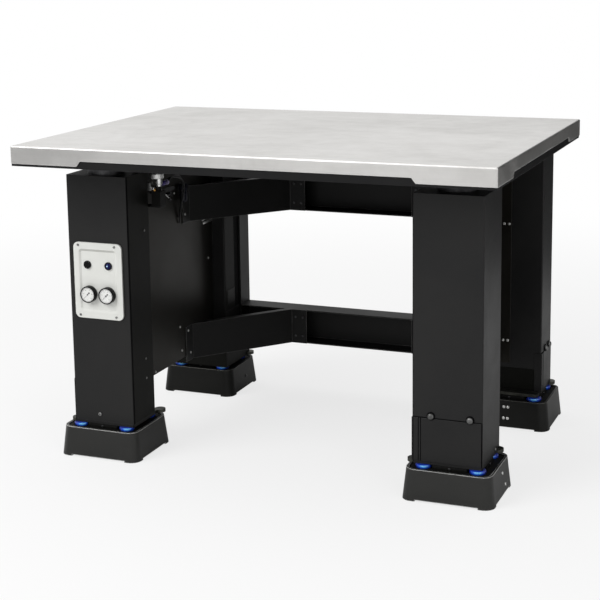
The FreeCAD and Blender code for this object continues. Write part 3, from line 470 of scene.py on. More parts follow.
class Shape:
    """A bmesh under construction, filled and shaped by operators."""

    def __init__(self) -> None:
        """Start empty."""
        self.mesh = bmesh.new()

    def turned(self, profile: Profile, sides: int) -> "Shape":
        """Spin a profile round the Z axis.

        Args:
            profile: pairs of radius and height, from the outside to the axis or back.
            sides: steps of the full turn.

        Returns:
            This shape.
        """
        points = [self.mesh.verts.new((radius, 0.0, height)) for radius, height in profile]
        edges = [self.mesh.edges.new(pair) for pair in zip(points, points[1:])]
        bmesh.ops.spin(self.mesh, geom=points + edges, cent=(0, 0, 0), axis=(0, 0, 1), dvec=(0, 0, 0),
                       angle=math.tau, steps=sides, use_merge=True, use_duplicate=False)
        bmesh.ops.remove_doubles(self.mesh, verts=self.mesh.verts, dist=1e-6)
        bmesh.ops.recalc_face_normals(self.mesh, faces=self.mesh.faces)
        return self

    def bevelled(self, edges: list[bmesh.types.BMEdge], offset: float, segments: int) -> "Shape":
        """Round some edges by an offset, in so many steps."""
        bmesh.ops.bevel(self.mesh, geom=edges, offset=offset, offset_type="OFFSET", affect="EDGES",
                        segments=segments, profile=0.5, material=-1, clamp_overlap=True)
        return self

    def bar(self, start: Place, end: Place, rounding: float = 0.0, place: Matrix = HERE) -> "Shape":
        """Add a box between two opposite corners.

        Args:
            start: one corner.
            end: the other corner.
            rounding: bevel of all its edges.
            place: where the corners are measured from.

        Returns:
            This shape.
        """
        middle = Matrix.Translation((Vector(start) + Vector(end)) / 2)
        size = Matrix.Diagonal([abs(side) for side in Vector(end) - Vector(start)] + [1.0])
        made = set(bmesh.ops.create_cube(self.mesh, size=1.0, matrix=place @ middle @ size)["verts"])
        if rounding > 0.0:
            self.bevelled([edge for edge in self.mesh.edges if edge.verts[0] in made], rounding, 2)
        return self

    def slab(self, size: Vector, radius: float) -> "Shape":
        """Plate on the plane Z = 0 with round corners.

        Args:
            size: lengths along the three axes.
            radius: radius of its four corners.

        Returns:
            This shape.
        """
        self.bar((-size.x / 2, -size.y / 2, 0.0), (size.x / 2, size.y / 2, size.z))
        upright = [edge for edge in self.mesh.edges
                   if abs(edge.verts[0].co.z - edge.verts[1].co.z) > size.z / 2]
        return self.bevelled(upright, radius, 6)

    def radially(self, radius: float, rule: Callable[[float], float]) -> "Shape":
        """Scale the points at a radius by a rule of their angle.

        Args:
            radius: radius of the points that are moved.
            rule: gives the factor of the radius at an angle.

        Returns:
            This shape.
        """
        for vert in self.mesh.verts:
            if abs(vert.co.xy.length - radius) < radius * 0.02:
                vert.co.xy *= rule(math.atan2(vert.co.y, vert.co.x))
        return self

    def moved(self, place: Matrix) -> "Shape":
        """Apply a matrix to everything in the shape."""
        bmesh.ops.transform(self.mesh, matrix=place, verts=self.mesh.verts)
        return self

    def lettering(self, text: str, size: float, place: Matrix) -> "Shape":
        """Add a short text as flat relief.

        Args:
            text: what it reads.
            size: height of its letters.
            place: middle of the text, its own Z axis pointing out of the face.

        Returns:
            This shape.
        """
        curve = bpy.data.curves.new("lettering", "FONT")
        curve.body = text
        curve.size = size
        curve.extrude = size * 0.02
        curve.align_x = "CENTER"
        curve.align_y = "CENTER"
        holder = bpy.data.objects.new("lettering", curve)
        data = bpy.data.meshes.new_from_object(holder)
        data.transform(place)
        self.mesh.from_mesh(data)
        bpy.data.objects.remove(holder)
        bpy.data.curves.remove(curve)
        bpy.data.meshes.remove(data)
        return self

    def tubing(self, points: Sequence[Vector], radius: float, sides: int = 14) -> "Shape":
        """Round tube along a smooth line through points.

        Args:
            points: places that the line passes.
            radius: radius of the tube.
            sides: sides of its section.

        Returns:
            This shape.
        """
        line = smooth_line(points)
        ring = bmesh.ops.create_circle(self.mesh, cap_ends=True, segments=sides, radius=radius)["verts"]
        heading = (line[1] - line[0]).normalized()
        turn = heading.to_track_quat("Z", "Y").to_matrix().to_4x4()
        bmesh.ops.transform(self.mesh, matrix=Matrix.Translation(line[0]) @ turn, verts=ring)
        face = next(iter(set.intersection(*(set(vert.link_faces) for vert in ring))))
        for number in range(1, len(line)):
            ahead = line[min(number + 1, len(line) - 1)] - line[number - 1]
            made = bmesh.ops.extrude_face_region(self.mesh, geom=[face])["geom"]
            if number > 1:
                bmesh.ops.delete(self.mesh, geom=[face], context="FACES_ONLY")
            face = next(item for item in made if isinstance(item, bmesh.types.BMFace))
            swing = heading.rotation_difference(ahead.normalized()).to_matrix().to_4x4()
            place = Matrix.Translation(line[number]) @ swing @ Matrix.Translation(-line[number - 1])
            bmesh.ops.transform(self.mesh, matrix=place, verts=face.verts)
            heading = ahead.normalized()
        bmesh.ops.recalc_face_normals(self.mesh, faces=self.mesh.faces)
        return self

    def stamped(self, other: "Shape", places: Sequence[Matrix]) -> "Shape":
        """Add a copy of another shape at each place.

        Args:
            other: the shape that is copied.
            places: where its copies go.

        Returns:
            This shape.
        """
        for place in places:
            data = bpy.data.meshes.new("stamp")
            other.mesh.to_mesh(data)
            data.transform(place)
            self.mesh.from_mesh(data)
            bpy.data.meshes.remove(data)
        return self

    def piece(self, name: str, finish: Finish, slot: str) -> Piece:
        """Turn the shape into an object that rides on the bench.

        Args:
            name: name of the object.
            finish: its finish.
            slot: not used.

        Returns:
            The object.
        """
        data = bpy.data.meshes.new(name)
        self.mesh.to_mesh(data)
        self.mesh.free()
        data.polygons.foreach_set("use_smooth", [True] * len(data.polygons))
        data.set_sharp_from_angle(angle=CREASE)
        data.materials.append(finish.material())
        made = bpy.data.objects.new(name, data)
        bpy.context.scene.collection.objects.link(made)
        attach(made, BODY)
        return made


def smooth_line(points: Sequence[Vector], steps: int = 8) -> list[Vector]:
    """Rounded line through points.

    Args:
        points: places that the line passes.
        steps: pieces between two of them.

    Returns:
        Points along the line.
    """
    ends = [points[0] * 2 - points[1], *points, points[-1] * 2 - points[-2]]
    line: list[Vector] = []
    for before, start, end, after in zip(ends, ends[1:], ends[2:], ends[3:]):
        for step in range(steps):
            t = step / steps
            line.append((2 * start + (end - before) * t + (2 * before - 5 * start + 4 * end - after) * t ** 2
                         + (3 * start - before - 3 * end + after) * t ** 3) / 2)
    return line + [points[-1]]


def hexagon(angle: float) -> float:
    """Factor that turns a circle into the hexagon inside it."""
    half = HEXAGON_SECTOR / 2
    return math.cos(half) / math.cos((angle + math.tau) % HEXAGON_SECTOR - half)


def standing(point: Place, facing: Facing, spin: float = 0.0, lean: float = 0.0) -> Matrix:
    """Place of a fitting whose own Z axis points out of a face.

    Args:
        point: where it sits.
        facing: outward direction of the face, before it leans.
        spin: turn about that direction.
        lean: how far the face leans back, so that it looks upwards.

    Returns:
        The matrix.
    """
    outward = Vector(facing.value) * math.cos(lean) + Vector((0.0, 0.0, math.sin(lean)))
    turn = outward.to_track_quat("Z", "Y").to_matrix().to_4x4()
    return Matrix.Translation(point) @ turn @ Matrix.Rotation(spin, 4, "Z")


def centre(node: str) -> Vector:
    """Middle of a CAD node's box."""
    low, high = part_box(node)
    return (low + high) / 2


def seat(node: str, end: int) -> Vector:
    """Middle of the front of a CAD node's box, end 0, or of its back, end 1."""
    middle = centre(node)
    return Vector((middle.x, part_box(node)[end].y, middle.z))


@dataclass(frozen=True)
class Screw:
    """Screw head with a hexagon socket, the same all over the bench apart from its size."""

    radius: float
    height: float
    sides: int = 24

    def shape(self) -> Shape:
        """Domed head with its socket, standing on Z = 0."""
        socket = self.radius * 0.46
        floor = self.height * 0.35
        crown = self.height
        head = Shape().turned(((self.radius, 0.0), (self.radius, self.height * 0.45),
                               (self.radius * 0.93, self.height * 0.80), (self.radius * 0.74, crown),
                               (socket, crown), (socket, floor), (0.0, floor)), self.sides)
        return head.radially(socket, hexagon)


SMALL_SCREW = Screw(0.0032, 0.0018)
BRACE_SCREW = Screw(0.0036, 0.0020)
FLANGE_SCREW = Screw(0.0040, 0.0022)
BEAM_SCREW = Screw(0.0045, 0.0026)
HOUSING_SCREW = Screw(0.0048, 0.0030)
FOOT_SCREW = Screw(0.0042, 0.0020)
FOOT_FRONT_SCREW = Screw(0.0040, 0.0020)


def fasten(name: str, facing: Facing, points: Sequence[Place], screw: Screw, finish: Finish = ZINC,
           slot: str = "dark_steel", lean: float = 0.0) -> Piece:
    """Make a row of like screws on one face, each turned a little further than the last."""
    places = [standing(point, facing, SCREW_TURN * number, lean) for number, point in enumerate(points)]
    return Shape().stamped(screw.shape(), places).piece(name, finish, slot)


class SubAssembly:
    """Group of pieces that is built and dressed together."""

    def dress(self, finish: Finish, *nodes: str) -> None:
        """Give CAD nodes a finish.

        Args:
            finish: the finish.
            nodes: names of the nodes.
        """
        for name in nodes:
            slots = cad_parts[name].data.materials
            slots.clear()
            slots.append(finish.material())

    def build(self) -> Pieces:
        """Make the pieces of the group and dress its nodes."""
        raise NotImplementedError


@dataclass
class Tabletop(SubAssembly):
    """Stainless tray over its black core."""

    def build(self) -> Pieces:
        """Dress the tray and the core."""
        self.dress(STAINLESS, "tabletop_skin")
        self.dress(CORE, "tabletop_core")
        return []


@dataclass
class LegHousings(SubAssembly):
    """Four sheet housings with their covers, plates, isolators and screws."""

    near: float = 0.045
    far: float = 0.030
    rise: float = 0.006
    head: float = 0.0079
    reach: float = 0.0066
    sheet: float = 0.002
    washer: float = 0.0100
    line: float = 0.0020
    lines: tuple[Spot, ...] = ((0.0005, 0.0020), (0.0135, 0.0022), (0.0191, 0.0022))
    gap: float = 0.003
    end_gap: float = 0.0006
    top_gap: float = 0.0010
    proud: float = 0.0002
    clearance: float = 0.0005
    knurls: int = 24
    knurl_depth: float = 0.022
    skirt_drop: float = 0.008
    shade_sheet_lap: float = 0.004
    shield: float = 0.170
    inner: float = 0.0006
    seam: float = 0.0075
    strips: tuple[tuple[str, Spot, Spot, float, Finish], ...] = (
        ("back_leg_strip", (0.2695, 0.253), (0.3310, 0.560), 0.0012, INNER_STRIP),
        # Dark strip of painted shade where the face steps back.
        ("back_leg_gap", (0.3310, 0.253), (0.3640, 0.560), 0.0004, GAP),
        ("back_leg_plate", (0.2790, 0.272), (0.3290, 0.312), 0.0022, INNER_SHEET))
    front_screw: Spot = (-0.4708, 0.1107)
    end_screw: Spot = (-0.182, 0.096)
    side_screws: tuple[Spot, ...] = ((-0.214, 0.584), (-0.228, 0.248), (-0.228, 0.196), (-0.161, 0.650))

    def covers(self) -> list[tuple[Matrix, float]]:
        """Frame and width of each cover: X runs along it from its flanged edge, Y points into the leg."""
        found: list[tuple[Matrix, float]] = []
        for corner, (side, end, turn) in zip(CORNERS, ((0, 1, -90), (0, 0, 0), (0, 1, -90), (1, 0, 90))):
            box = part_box(f"leg_{corner}")
            size = box[1] - box[0]
            start = Matrix.Translation((box[side].x, box[end].y, 0.0))
            found.append((start @ Matrix.Rotation(math.radians(turn), 4, "Z"), size.y if turn else size.x))
        return found

    def screw_places(self) -> list[Matrix]:
        """Where the thumb screws stand on the legs' faces, their own Z axes pointing out."""
        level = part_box("cover_front_left")[1].z + self.rise
        outwards = Matrix.Rotation(math.radians(90), 4, "X")
        return [place @ Matrix.Translation((offset, 0.0, level)) @ outwards
                for place, width in self.covers() for offset in (self.near, width - self.far)]

    def thumb_screws(self) -> Pieces:
        """Knurled heads with a domed face in place of the plain ones, and the washers under them."""
        radius = self.head
        stem = self.sheet * 0.7
        top = self.sheet + self.reach
        head = Shape().turned(((radius * 0.62, 0.0), (radius * 0.62, stem), (radius * 0.90, stem),
                               (radius, stem + 0.0008), (radius, top - 0.0036), (radius * 0.92, top - 0.0020),
                               (radius * 0.70, top - 0.0008), (radius * 0.38, top - 0.0001), (0.0, top)), 48)
        head.radially(radius, lambda angle: 1.0 + self.knurl_depth * math.cos(self.knurls * angle))
        thick = self.sheet + 2 * self.proud
        ring = Shape().turned(((self.washer, 0.0), (self.washer, thick * 0.8), (self.washer * 0.96, thick),
                               (radius * 0.5, thick)), 40)
        places = self.screw_places()
        heads = Shape().stamped(head, places).piece("thumb_screw_heads", THUMB_STEEL, "dark_steel")
        washers = Shape().stamped(ring, places).piece("thumb_screw_washers", GAP, "dark_steel")
        return [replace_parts(heads, "thumb_screws"), washers]

    def outlines(self) -> Piece:
        """Dark gaps round the covers and in their folded seams."""
        low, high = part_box("cover_front_left")
        face = -self.sheet - self.proud
        made = Shape()
        for place, width in self.covers():
            bars = [((start, face, low.z), (start + wide, face + self.sheet / 2, high.z))
                    for start, wide in self.lines]
            bars.append(((width - self.gap, -self.end_gap, low.z),
                         (width - 2 * self.proud, self.end_gap, high.z)))
            bars.append(((self.line, -self.top_gap, high.z),
                         (width - self.line, self.proud, high.z + self.line)))
            for start, end in bars:
                made.bar(start, end, place=place)
        return made.piece("cover_outlines", GAP, "black_powder")

    def skirts(self) -> Piece:
        """Edges of the housings that hide the plates beneath them."""
        made = Shape()
        wall = self.sheet * 0.9
        for corner in CORNERS:
            low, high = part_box(f"leg_{corner}")
            plate_low, plate_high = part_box(f"base_plate_{corner}")
            walls = [(low.x, low.y, low.x + wall, high.y), (high.x - wall, low.y, high.x, high.y)]
            if plate_low.y > low.y:
                walls.append((low.x, low.y, high.x, low.y + wall))
            if plate_high.y < high.y:
                walls.append((low.x, high.y - wall, high.x, high.y))
            for left, front, right, back in walls:
                made.bar((left, front, low.z - self.skirt_drop), (right, back, low.z + self.proud))
        return made.piece("housing_skirts", HOUSING, "black_powder")

    def inner_sheets(self) -> Pieces:
        """Shield above the left side plate, and thin sheets on the front legs' inner faces."""
        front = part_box("leg_front_left")[1].y
        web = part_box("side_plate_left")[1]
        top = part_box("tabletop_core")[0].z
        shield = Shape().bar((web.x - self.sheet, front, web.z - self.sheet),
                             (web.x, front + self.shield, top - 2 * self.clearance))
        made = [shield.piece("valve_shield", INNER_SHEET, "black_powder")]
        sheets = Shape()
        seams = Shape()
        for corner, side in (("front_left", 1), ("front_right", -1)):
            low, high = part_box(f"leg_{corner}")
            face = high.x if side > 0 else low.x
            for group, start, end in ((seams, low.y + 2 * self.clearance, low.y + self.seam),
                                      (sheets, low.y + self.seam, high.y - 2 * self.proud)):
                group.bar((face, start, low.z + self.clearance),
                          (face + side * self.inner, end, high.z - self.clearance))
        made.append(sheets.piece("inner_sheets", INNER_SHEET, "black_powder"))
        made.append(seams.piece("inner_seams", GAP, "black_powder"))
        return made

    def back_strips(self) -> Pieces:
        """Dark sheets of painted shade on the back legs below the lower beam, and the strips on the inner face
        of the left one.
        """
        shade_sheets = Shape()
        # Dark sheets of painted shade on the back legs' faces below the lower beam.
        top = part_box("lower_rear_beam")[0].z + self.shade_sheet_lap
        for corner, side in (("back_left", 1), ("back_right", -1)):
            low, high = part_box(f"leg_{corner}")
            face = high.x if side > 0 else low.x
            bottom = low.z - self.skirt_drop
            shade_sheets.bar((low.x, low.y - self.inner, bottom), (high.x, low.y, top))
            shade_sheets.bar((face, low.y, bottom), (face + side * self.inner, high.y, top))
        made = [shade_sheets.piece("back_leg_painted_shade", INNER_STRIP, "black_powder")]
        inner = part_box("leg_back_left")[1].x
        for name, start, end, thick, finish in self.strips:
            strip = Shape().bar((inner, *start), (inner + thick, *end))
            made.append(strip.piece(name, finish, "black_powder"))
        return made

    def housing_screws(self) -> Pieces:
        """Small screws on the housings."""
        left_low, left_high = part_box("leg_front_left")
        right_low, right_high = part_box("leg_front_right")
        across, level = self.front_screw
        made = [fasten("housing_screw_front", Facing.FRONT, [(across, left_low.y, level)], HOUSING_SCREW,
                       DULL_STEEL)]
        for name, facing, face, spots, screw in (
                ("screws_left", Facing.RIGHT, left_high.x, self.side_screws, SMALL_SCREW),
                ("screws_right", Facing.LEFT, right_low.x, self.side_screws, SMALL_SCREW),
                ("screw_end", Facing.RIGHT, right_high.x, (self.end_screw,), FLANGE_SCREW)):
            points = [(face, *spot) for spot in spots]
            made.append(fasten(f"housing_{name}", facing, points, screw, DULL_STEEL))
        return made

    def build(self) -> Pieces:
        """Dress the housings, plates and columns, and make the screws."""
        for corner in CORNERS:
            self.dress(HOUSING, f"leg_{corner}", f"cover_{corner}")
            self.dress(PHOSPHATE, f"base_plate_{corner}")
            self.dress(BLACK_OXIDE, f"isolator_{corner}")
        return [*self.thumb_screws(), self.outlines(), self.skirts(), *self.inner_sheets(),
                *self.back_strips(), *self.housing_screws()]


@dataclass
class Feet(SubAssembly):
    """Cast feet with elastomer discs between them and the legs."""

    disc: float = 0.020
    spacing_x: float = 0.132
    spacing_y: float = 0.116
    slope: float = math.radians(5.6)
    block_length: float = 0.160
    block_depth: float = 0.138
    block_margin: float = 0.004
    block_gap: float = 0.0003
    rim: float = 0.0062
    recess_radius: float = 0.020
    # Thickness of the black sheets of painted shade in the recesses.
    recess_shade_sheet: float = 0.0003
    slope_screws: tuple[tuple[str, str, Facing, tuple[Spot, ...], Screw, Finish], ...] = (
        ("front_right", "front_right", Facing.RIGHT, ((0.011, 0.055), (0.029, 0.022)), FOOT_SCREW, ZINC),
        # The back-left foot's screws take the darker copy of the zinc: painted shade.
        ("back_left", "back_left", Facing.RIGHT, ((0.012, 0.034),), FOOT_SCREW, SHADED_ZINC),
        ("front", "back_right", Facing.FRONT,
         ((-0.0074, 0.028), (-0.0074, 0.059), (0.0034, 0.028), (0.0034, 0.059)), FOOT_FRONT_SCREW, ZINC))

    def middles(self, level: float = 0.0) -> dict[str, Vector]:
        """Middle of each foot at a level above the floor, by its corner."""
        found = {corner: centre(f"foot_{corner}") for corner in CORNERS}
        return {corner: Vector((middle.x, middle.y, level)) for corner, middle in found.items()}

    def stacked(self, shape: Shape, level: float) -> Shape:
        """Copies of a shape at a level in the middle of each foot."""
        return Shape().stamped(shape, [Matrix.Translation(middle) for middle in self.middles(level).values()])

    def discs(self) -> Piece:
        """Sixteen discs that bulge between plate and foot."""
        low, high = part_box("blue_discs")
        height = high.z - low.z
        radius = self.disc
        disc = Shape().turned(((0.0, height), (radius * 0.86, height), (radius * 0.95, height * 0.90),
                               (radius, height * 0.62), (radius, height * 0.38),
                               (radius * 0.95, height * 0.10), (radius * 0.86, 0.0), (0.0, 0.0)), 56)
        places = [Matrix.Translation((side * self.spacing_x / 2, row * self.spacing_y / 2, 0.0))
                  for side in (-1, 1) for row in (-1, 1)]
        four = Shape().stamped(disc, places)
        made = self.stacked(four, low.z).piece("elastomer_discs", BLUE_DISC, "blue_elastomer")
        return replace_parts(made, "blue_discs")

    def blocks(self) -> Piece:
        """Dark dampers between the discs, one crossed pair in each foot."""
        low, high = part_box("blue_discs")
        tall = high.z - low.z - 2 * self.block_gap
        room = 2 * (self.disc + self.block_margin)
        cross = Shape()
        for wide, deep in ((self.spacing_x - room, self.block_depth),
                           (self.block_length, self.spacing_y - room)):
            cross.bar((-wide / 2, -deep / 2, 0.0), (wide / 2, deep / 2, tall), 0.0012)
        return self.stacked(cross, low.z + self.block_gap).piece("damper_blocks", RUBBER, "foot_black")

    def recess_shade(self) -> Piece:
        """Thin black sheets on the floors of the feet's recesses: painted shade."""
        low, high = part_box("foot_front_left")
        inset = 2 * (high.z * math.tan(self.slope) + self.rim)
        size = Vector((high.x - low.x - inset, high.y - low.y - inset, self.recess_shade_sheet))
        recess_shade_sheet = Shape().slab(size, self.recess_radius)
        return self.stacked(recess_shade_sheet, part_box("blue_discs")[0].z).piece("recess_painted_shade", RUBBER, "foot_black")

    def block_screws(self) -> Pieces:
        """One screw in the middle of each side of the dampers."""
        middles = self.middles(centre("blue_discs").z).values()
        reach = Vector((self.block_length / 2, self.block_depth / 2, 0.0))
        made: Pieces = []
        for facing in Facing:
            points = [middle + reach * Vector(facing.value) for middle in middles]
            name = f"damper_screws_{facing.name.lower()}"
            made.append(fasten(name, facing, points, SMALL_SCREW, BLACK_OXIDE))
        return made

    def foot_screws(self) -> Pieces:
        """Screws in the sloping sides of the feet."""
        low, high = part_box("foot_front_left")
        middles = self.middles()
        made: Pieces = []
        for name, corner, facing, spots, screw, finish in self.slope_screws:
            outward = Vector(facing.value)
            half = abs(outward.dot(high - low)) / 2
            sideways = Vector((abs(outward.y), abs(outward.x), 0.0))
            points = [middles[corner] + outward * (half - level * math.tan(self.slope)) + sideways * along
                      + Vector((0.0, 0.0, level)) for along, level in spots]
            made.append(fasten(f"foot_screws_{name}", facing, points, screw, finish, lean=self.slope))
        return made

    def build(self) -> Pieces:
        """Dress the castings and make the discs, the dampers and their screws."""
        for corner in CORNERS:
            # The back feet take the darker copy of the casting: painted shade.
            self.dress(CASTING if corner.startswith("front") else CASTING_SHADED, f"foot_{corner}")
        return [self.discs(), self.blocks(), self.recess_shade(), *self.block_screws(), *self.foot_screws()]


@dataclass
class RearFrame(SubAssembly):
    """Side plates, rear beams, end plates and braces."""

    sheet: float = 0.003
    plate_sheet: float = 0.0025
    on_plate: tuple[Spot, ...] = ((-0.092, 0.638), (0.035, 0.638), (0.239, 0.416), (-0.106, 0.173),
                                  (0.048, 0.259), (0.056, 0.190))
    on_braces: tuple[Spot, ...] = ((0.092, 0.570), (0.104, 0.636), (0.092, 0.238), (0.104, 0.172))
    on_flanges: tuple[Spot, ...] = ((0.026, 0.553), (0.039, 0.553), (0.026, 0.2295), (0.039, 0.2295))
    heights: Spot = (0.022, 0.078)
    on_beam_front: Spot = (0.012, 0.034)
    on_beam_back: Spot = (0.020, 0.050)
    strips: tuple[tuple[Spot, Spot], ...] = (((0.2095, 0.5190), (0.2690, 0.5256)),
                                             ((0.2020, 0.5300), (0.2610, 0.5322)))
    strip_sheet: float = 0.0016

    def plate_screws(self) -> Pieces:
        """Screws on the inner faces of the side plates and on the side flanges of the braces."""
        made: Pieces = []
        for name, end, facing in (("left", 1, Facing.RIGHT), ("right", 0, Facing.LEFT)):
            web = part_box(f"side_plate_{name}")[end].x
            brace = web + self.sheet * facing.value[0]
            points = [(web, *spot) for spot in self.on_plate] + [(brace, *spot) for spot in self.on_braces]
            made.append(fasten(f"side_plate_screws_{name}", facing, points, BRACE_SCREW))
        return made

    def flange_screws(self) -> Pieces:
        """Bright pairs of screws on the rear flanges of the side plates."""
        made: Pieces = []
        for name, end, side in (("left", 1, -1), ("right", 0, 1)):
            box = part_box(f"side_plate_{name}")
            points = [(box[end].x + side * away, box[1].y - self.plate_sheet, level)
                      for away, level in self.on_flanges]
            made.append(fasten(f"flange_screws_{name}", Facing.FRONT, points, FLANGE_SCREW))
        return made

    def web_strips(self) -> Piece:
        """Two zinc strips on the left side plate."""
        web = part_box("side_plate_left")[1].x
        made = Shape()
        for start, end in self.strips:
            made.bar((web, *start), (web + self.strip_sheet, *end), 0.0004)
        return made.piece("web_strips", ZINC, "dark_steel")

    def beam_screws(self) -> Pieces:
        """Screws that hold the braces to the beams and the beams to their end plates."""
        made: Pieces = []
        for level in ("upper", "lower"):
            low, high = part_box(f"{level}_rear_beam")
            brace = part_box(f"{level}_brace_right")[0].x
            points = [(side * (brace + away), low.y - self.sheet, low.z + height)
                      for height in self.heights for side in (-1, 1) for away in self.on_beam_front]
            made.append(fasten(f"brace_screws_{level}", Facing.FRONT, points, BRACE_SCREW, BLACK_OXIDE))
            points = [(side * (high.x - away), high.y, low.z + height)
                      for side in (-1, 1) for away in self.on_beam_back for height in self.heights]
            made.append(fasten(f"beam_screws_{level}", Facing.BACK, points, BEAM_SCREW, BLACK_OXIDE))
        return made

    def build(self) -> Pieces:
        """Dress the sheet parts and make their screws."""
        for side in ("left", "right"):
            self.dress(SIDE, f"side_plate_{side}")
            self.dress(POWDER, f"upright_{side}")
            self.dress(BEAM, f"upper_brace_{side}", f"lower_brace_{side}")
        self.dress(BEAM, "upper_rear_beam", "lower_rear_beam")
        return [*self.plate_screws(), *self.flange_screws(), *self.beam_screws(), self.web_strips()]


@dataclass
class ControlPanel(SubAssembly):
    """White panel with two buttons and two pressure gauges."""

    screw_x: float = 0.0519
    screw_z: float = 0.0911
    screw_shift: float = -0.0030
    card_height: float = 0.0001
    first: float = math.radians(225)
    sweep: float = math.radians(270)
    divisions: int = 50
    major: int = 5
    numbered: int = 10
    tick_outer: float = 0.0166
    tick_minor: float = 0.0154
    tick_major: float = 0.0144
    wide_tick: float = 0.00045
    thin_tick: float = 0.00026
    number_radius: float = 0.0117
    number_size: float = 0.0029
    number_lift: float = 0.00005
    needle_width: float = 0.0009
    needle_length: float = 0.0200
    needle_sheet: float = 0.0003
    needle_taper: float = 0.35
    needle_shift: Place = (0.0, 0.0048, 0.0005)
    weight_shift: Place = (0.0, -0.0058, 0.0003)
    hub_shift: Place = (0.0, 0.0, 0.0004)
    glint_shift: Place = (-0.0009, -0.0052, 0.0004)
    plain_cap: Profile = ((0.0076, 0.0), (0.0076, 0.0048), (0.0072, 0.0054), (0.0058, 0.0056),
                          (0.0054, 0.0051), (0.0030, 0.0050), (0.0026, 0.0055), (0.0, 0.0056))
    domed_cap: Profile = ((0.0076, 0.0), (0.0076, 0.0020), (0.0072, 0.0030), (0.0060, 0.0043),
                          (0.0048, 0.0051), (0.0034, 0.0057), (0.0018, 0.0059), (0.0, 0.0060))

    def dials(self) -> list[Vector]:
        """Middle of the front face of each dial."""
        low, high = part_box("gauge_dials")
        radius = (high.z - low.z) / 2
        return [Vector((x, low.y, low.z + radius)) for x in (low.x + radius, high.x - radius)]

    def angle(self, share: float) -> float:
        """Angle of a reading between 0 and 1, counted from the right towards the top."""
        return self.first - self.sweep * share

    def on_dial(self, middle: Vector, share: float) -> Matrix:
        """Place at the middle of a dial whose own Y axis points along a reading between 0 and 1."""
        return standing(middle, Facing.FRONT) @ Matrix.Rotation(self.angle(share) - math.pi / 2, 4, "Z")

    def gauges(self) -> Pieces:
        """Round cases with a rolled bezel in place of the plain ones, and domed windows over the dials."""
        low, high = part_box("gauge_cases")
        radius = (high.z - low.z) / 2
        reach = high.y - low.y
        dial_low, dial_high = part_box("gauge_dials")
        inner = (dial_high.z - dial_low.z) / 2
        floor = high.y - dial_high.y
        case = Shape().turned(((radius, 0.0), (radius, reach - 0.0026), (radius - 0.0004, reach - 0.0012),
                               (radius - 0.0012, reach - 0.0003), (radius - 0.0021, reach),
                               (inner + 0.0006, reach - 0.0002), (inner, reach - 0.0010), (inner, floor),
                               (0.0, floor)), 72)
        edge = inner - 0.0002
        pane = Shape().turned(((edge, 0.0014), (edge * 0.8, 0.0019), (edge * 0.5, 0.0022), (0.0, 0.0024)), 64)
        rear = [standing(Vector((dial.x, high.y, dial.z)), Facing.FRONT) for dial in self.dials()]
        front = [standing(dial, Facing.FRONT) for dial in self.dials()]
        cases = Shape().stamped(case, rear).piece("gauge_housings", GAUGE_PLASTIC, "gauge_black")
        windows = Shape().stamped(pane, front).piece("gauge_windows", WINDOW, "dial_white")
        return [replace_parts(cases, "gauge_cases"), windows]

    def printing(self) -> Piece:
        """Scale, numbers and rings printed on the dials."""
        marks = Shape()
        outer = self.tick_outer + 0.0002
        inner = self.tick_outer - 0.0001
        ring = Shape().turned(((outer, 0.0), (outer, self.card_height), (inner, self.card_height),
                               (inner, 0.0)), 72)
        for dial in self.dials():
            face = standing(dial, Facing.FRONT)
            marks.stamped(ring, (face,))
            for number in range(self.divisions + 1):
                share = number / self.divisions
                whole = number % self.major == 0
                half = (self.wide_tick if whole else self.thin_tick) / 2
                inner = self.tick_major if whole else self.tick_minor
                marks.bar((-half, inner, 0.0), (half, self.tick_outer, self.card_height),
                          place=self.on_dial(dial, share))
                if number % self.numbered == 0:
                    away = Matrix.Rotation(self.angle(share), 3, "Z") @ Vector((self.number_radius, 0.0, 0.0))
                    away.z = self.number_lift
                    marks.lettering(str(2 * number), self.number_size, face @ Matrix.Translation(away))
        return marks.piece("dial_printing", DIAL_INK, "gauge_black")

    def needles(self) -> Piece:
        """Black needles at rest, each with a round counterweight."""
        half = Vector((self.needle_width, self.needle_length, 0.0)) / 2
        needle = Shape().bar(-half, (half.x, half.y, self.needle_sheet))
        tip = [vert for vert in needle.mesh.verts if vert.co.y > 0]
        bmesh.ops.scale(needle.mesh, vec=(self.needle_taper, 1.0, 1.0), verts=tip)
        needle.moved(Matrix.Translation(self.needle_shift))
        disc = Shape().turned(((0.0021, 0.0), (0.0021, 0.0006), (0.0017, 0.0009), (0.0, 0.0009)), 28)
        needle.stamped(disc, (Matrix.Translation(self.weight_shift), Matrix.Translation(self.hub_shift)))
        places = [self.on_dial(dial, 0.0) for dial in self.dials()]
        return Shape().stamped(needle, places).piece("gauge_needles", DIAL_INK, "gauge_black")

    def button(self, node: str, cap: Profile, finish: Finish) -> Pieces:
        """Push button: a bezel and the cap inside it.

        Args:
            node: CAD node that the two pieces stand for.
            cap: profile of the cap.
            finish: finish of the cap.

        Returns:
            The cap and the bezel.
        """
        low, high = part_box(node)
        radius = (high.z - low.z) / 2
        colour = node.split("_")[0]
        bezel = Shape().turned(((radius, 0.0), (radius, 0.0024), (radius - 0.0004, 0.0034),
                                (radius - 0.0012, 0.0038), (radius - 0.0024, 0.0036),
                                (radius - 0.0027, 0.0030), (radius - 0.0027, 0.0)), 56)
        place = standing(seat(node, 1), Facing.FRONT)
        ring = bezel.moved(place).piece(f"{node}_bezel", BEZEL, "button_black")
        top = Shape().turned(cap, 56).moved(place).piece(f"{node}_cap", finish, f"button_{colour}")
        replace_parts(top, node)
        return [top, ring]

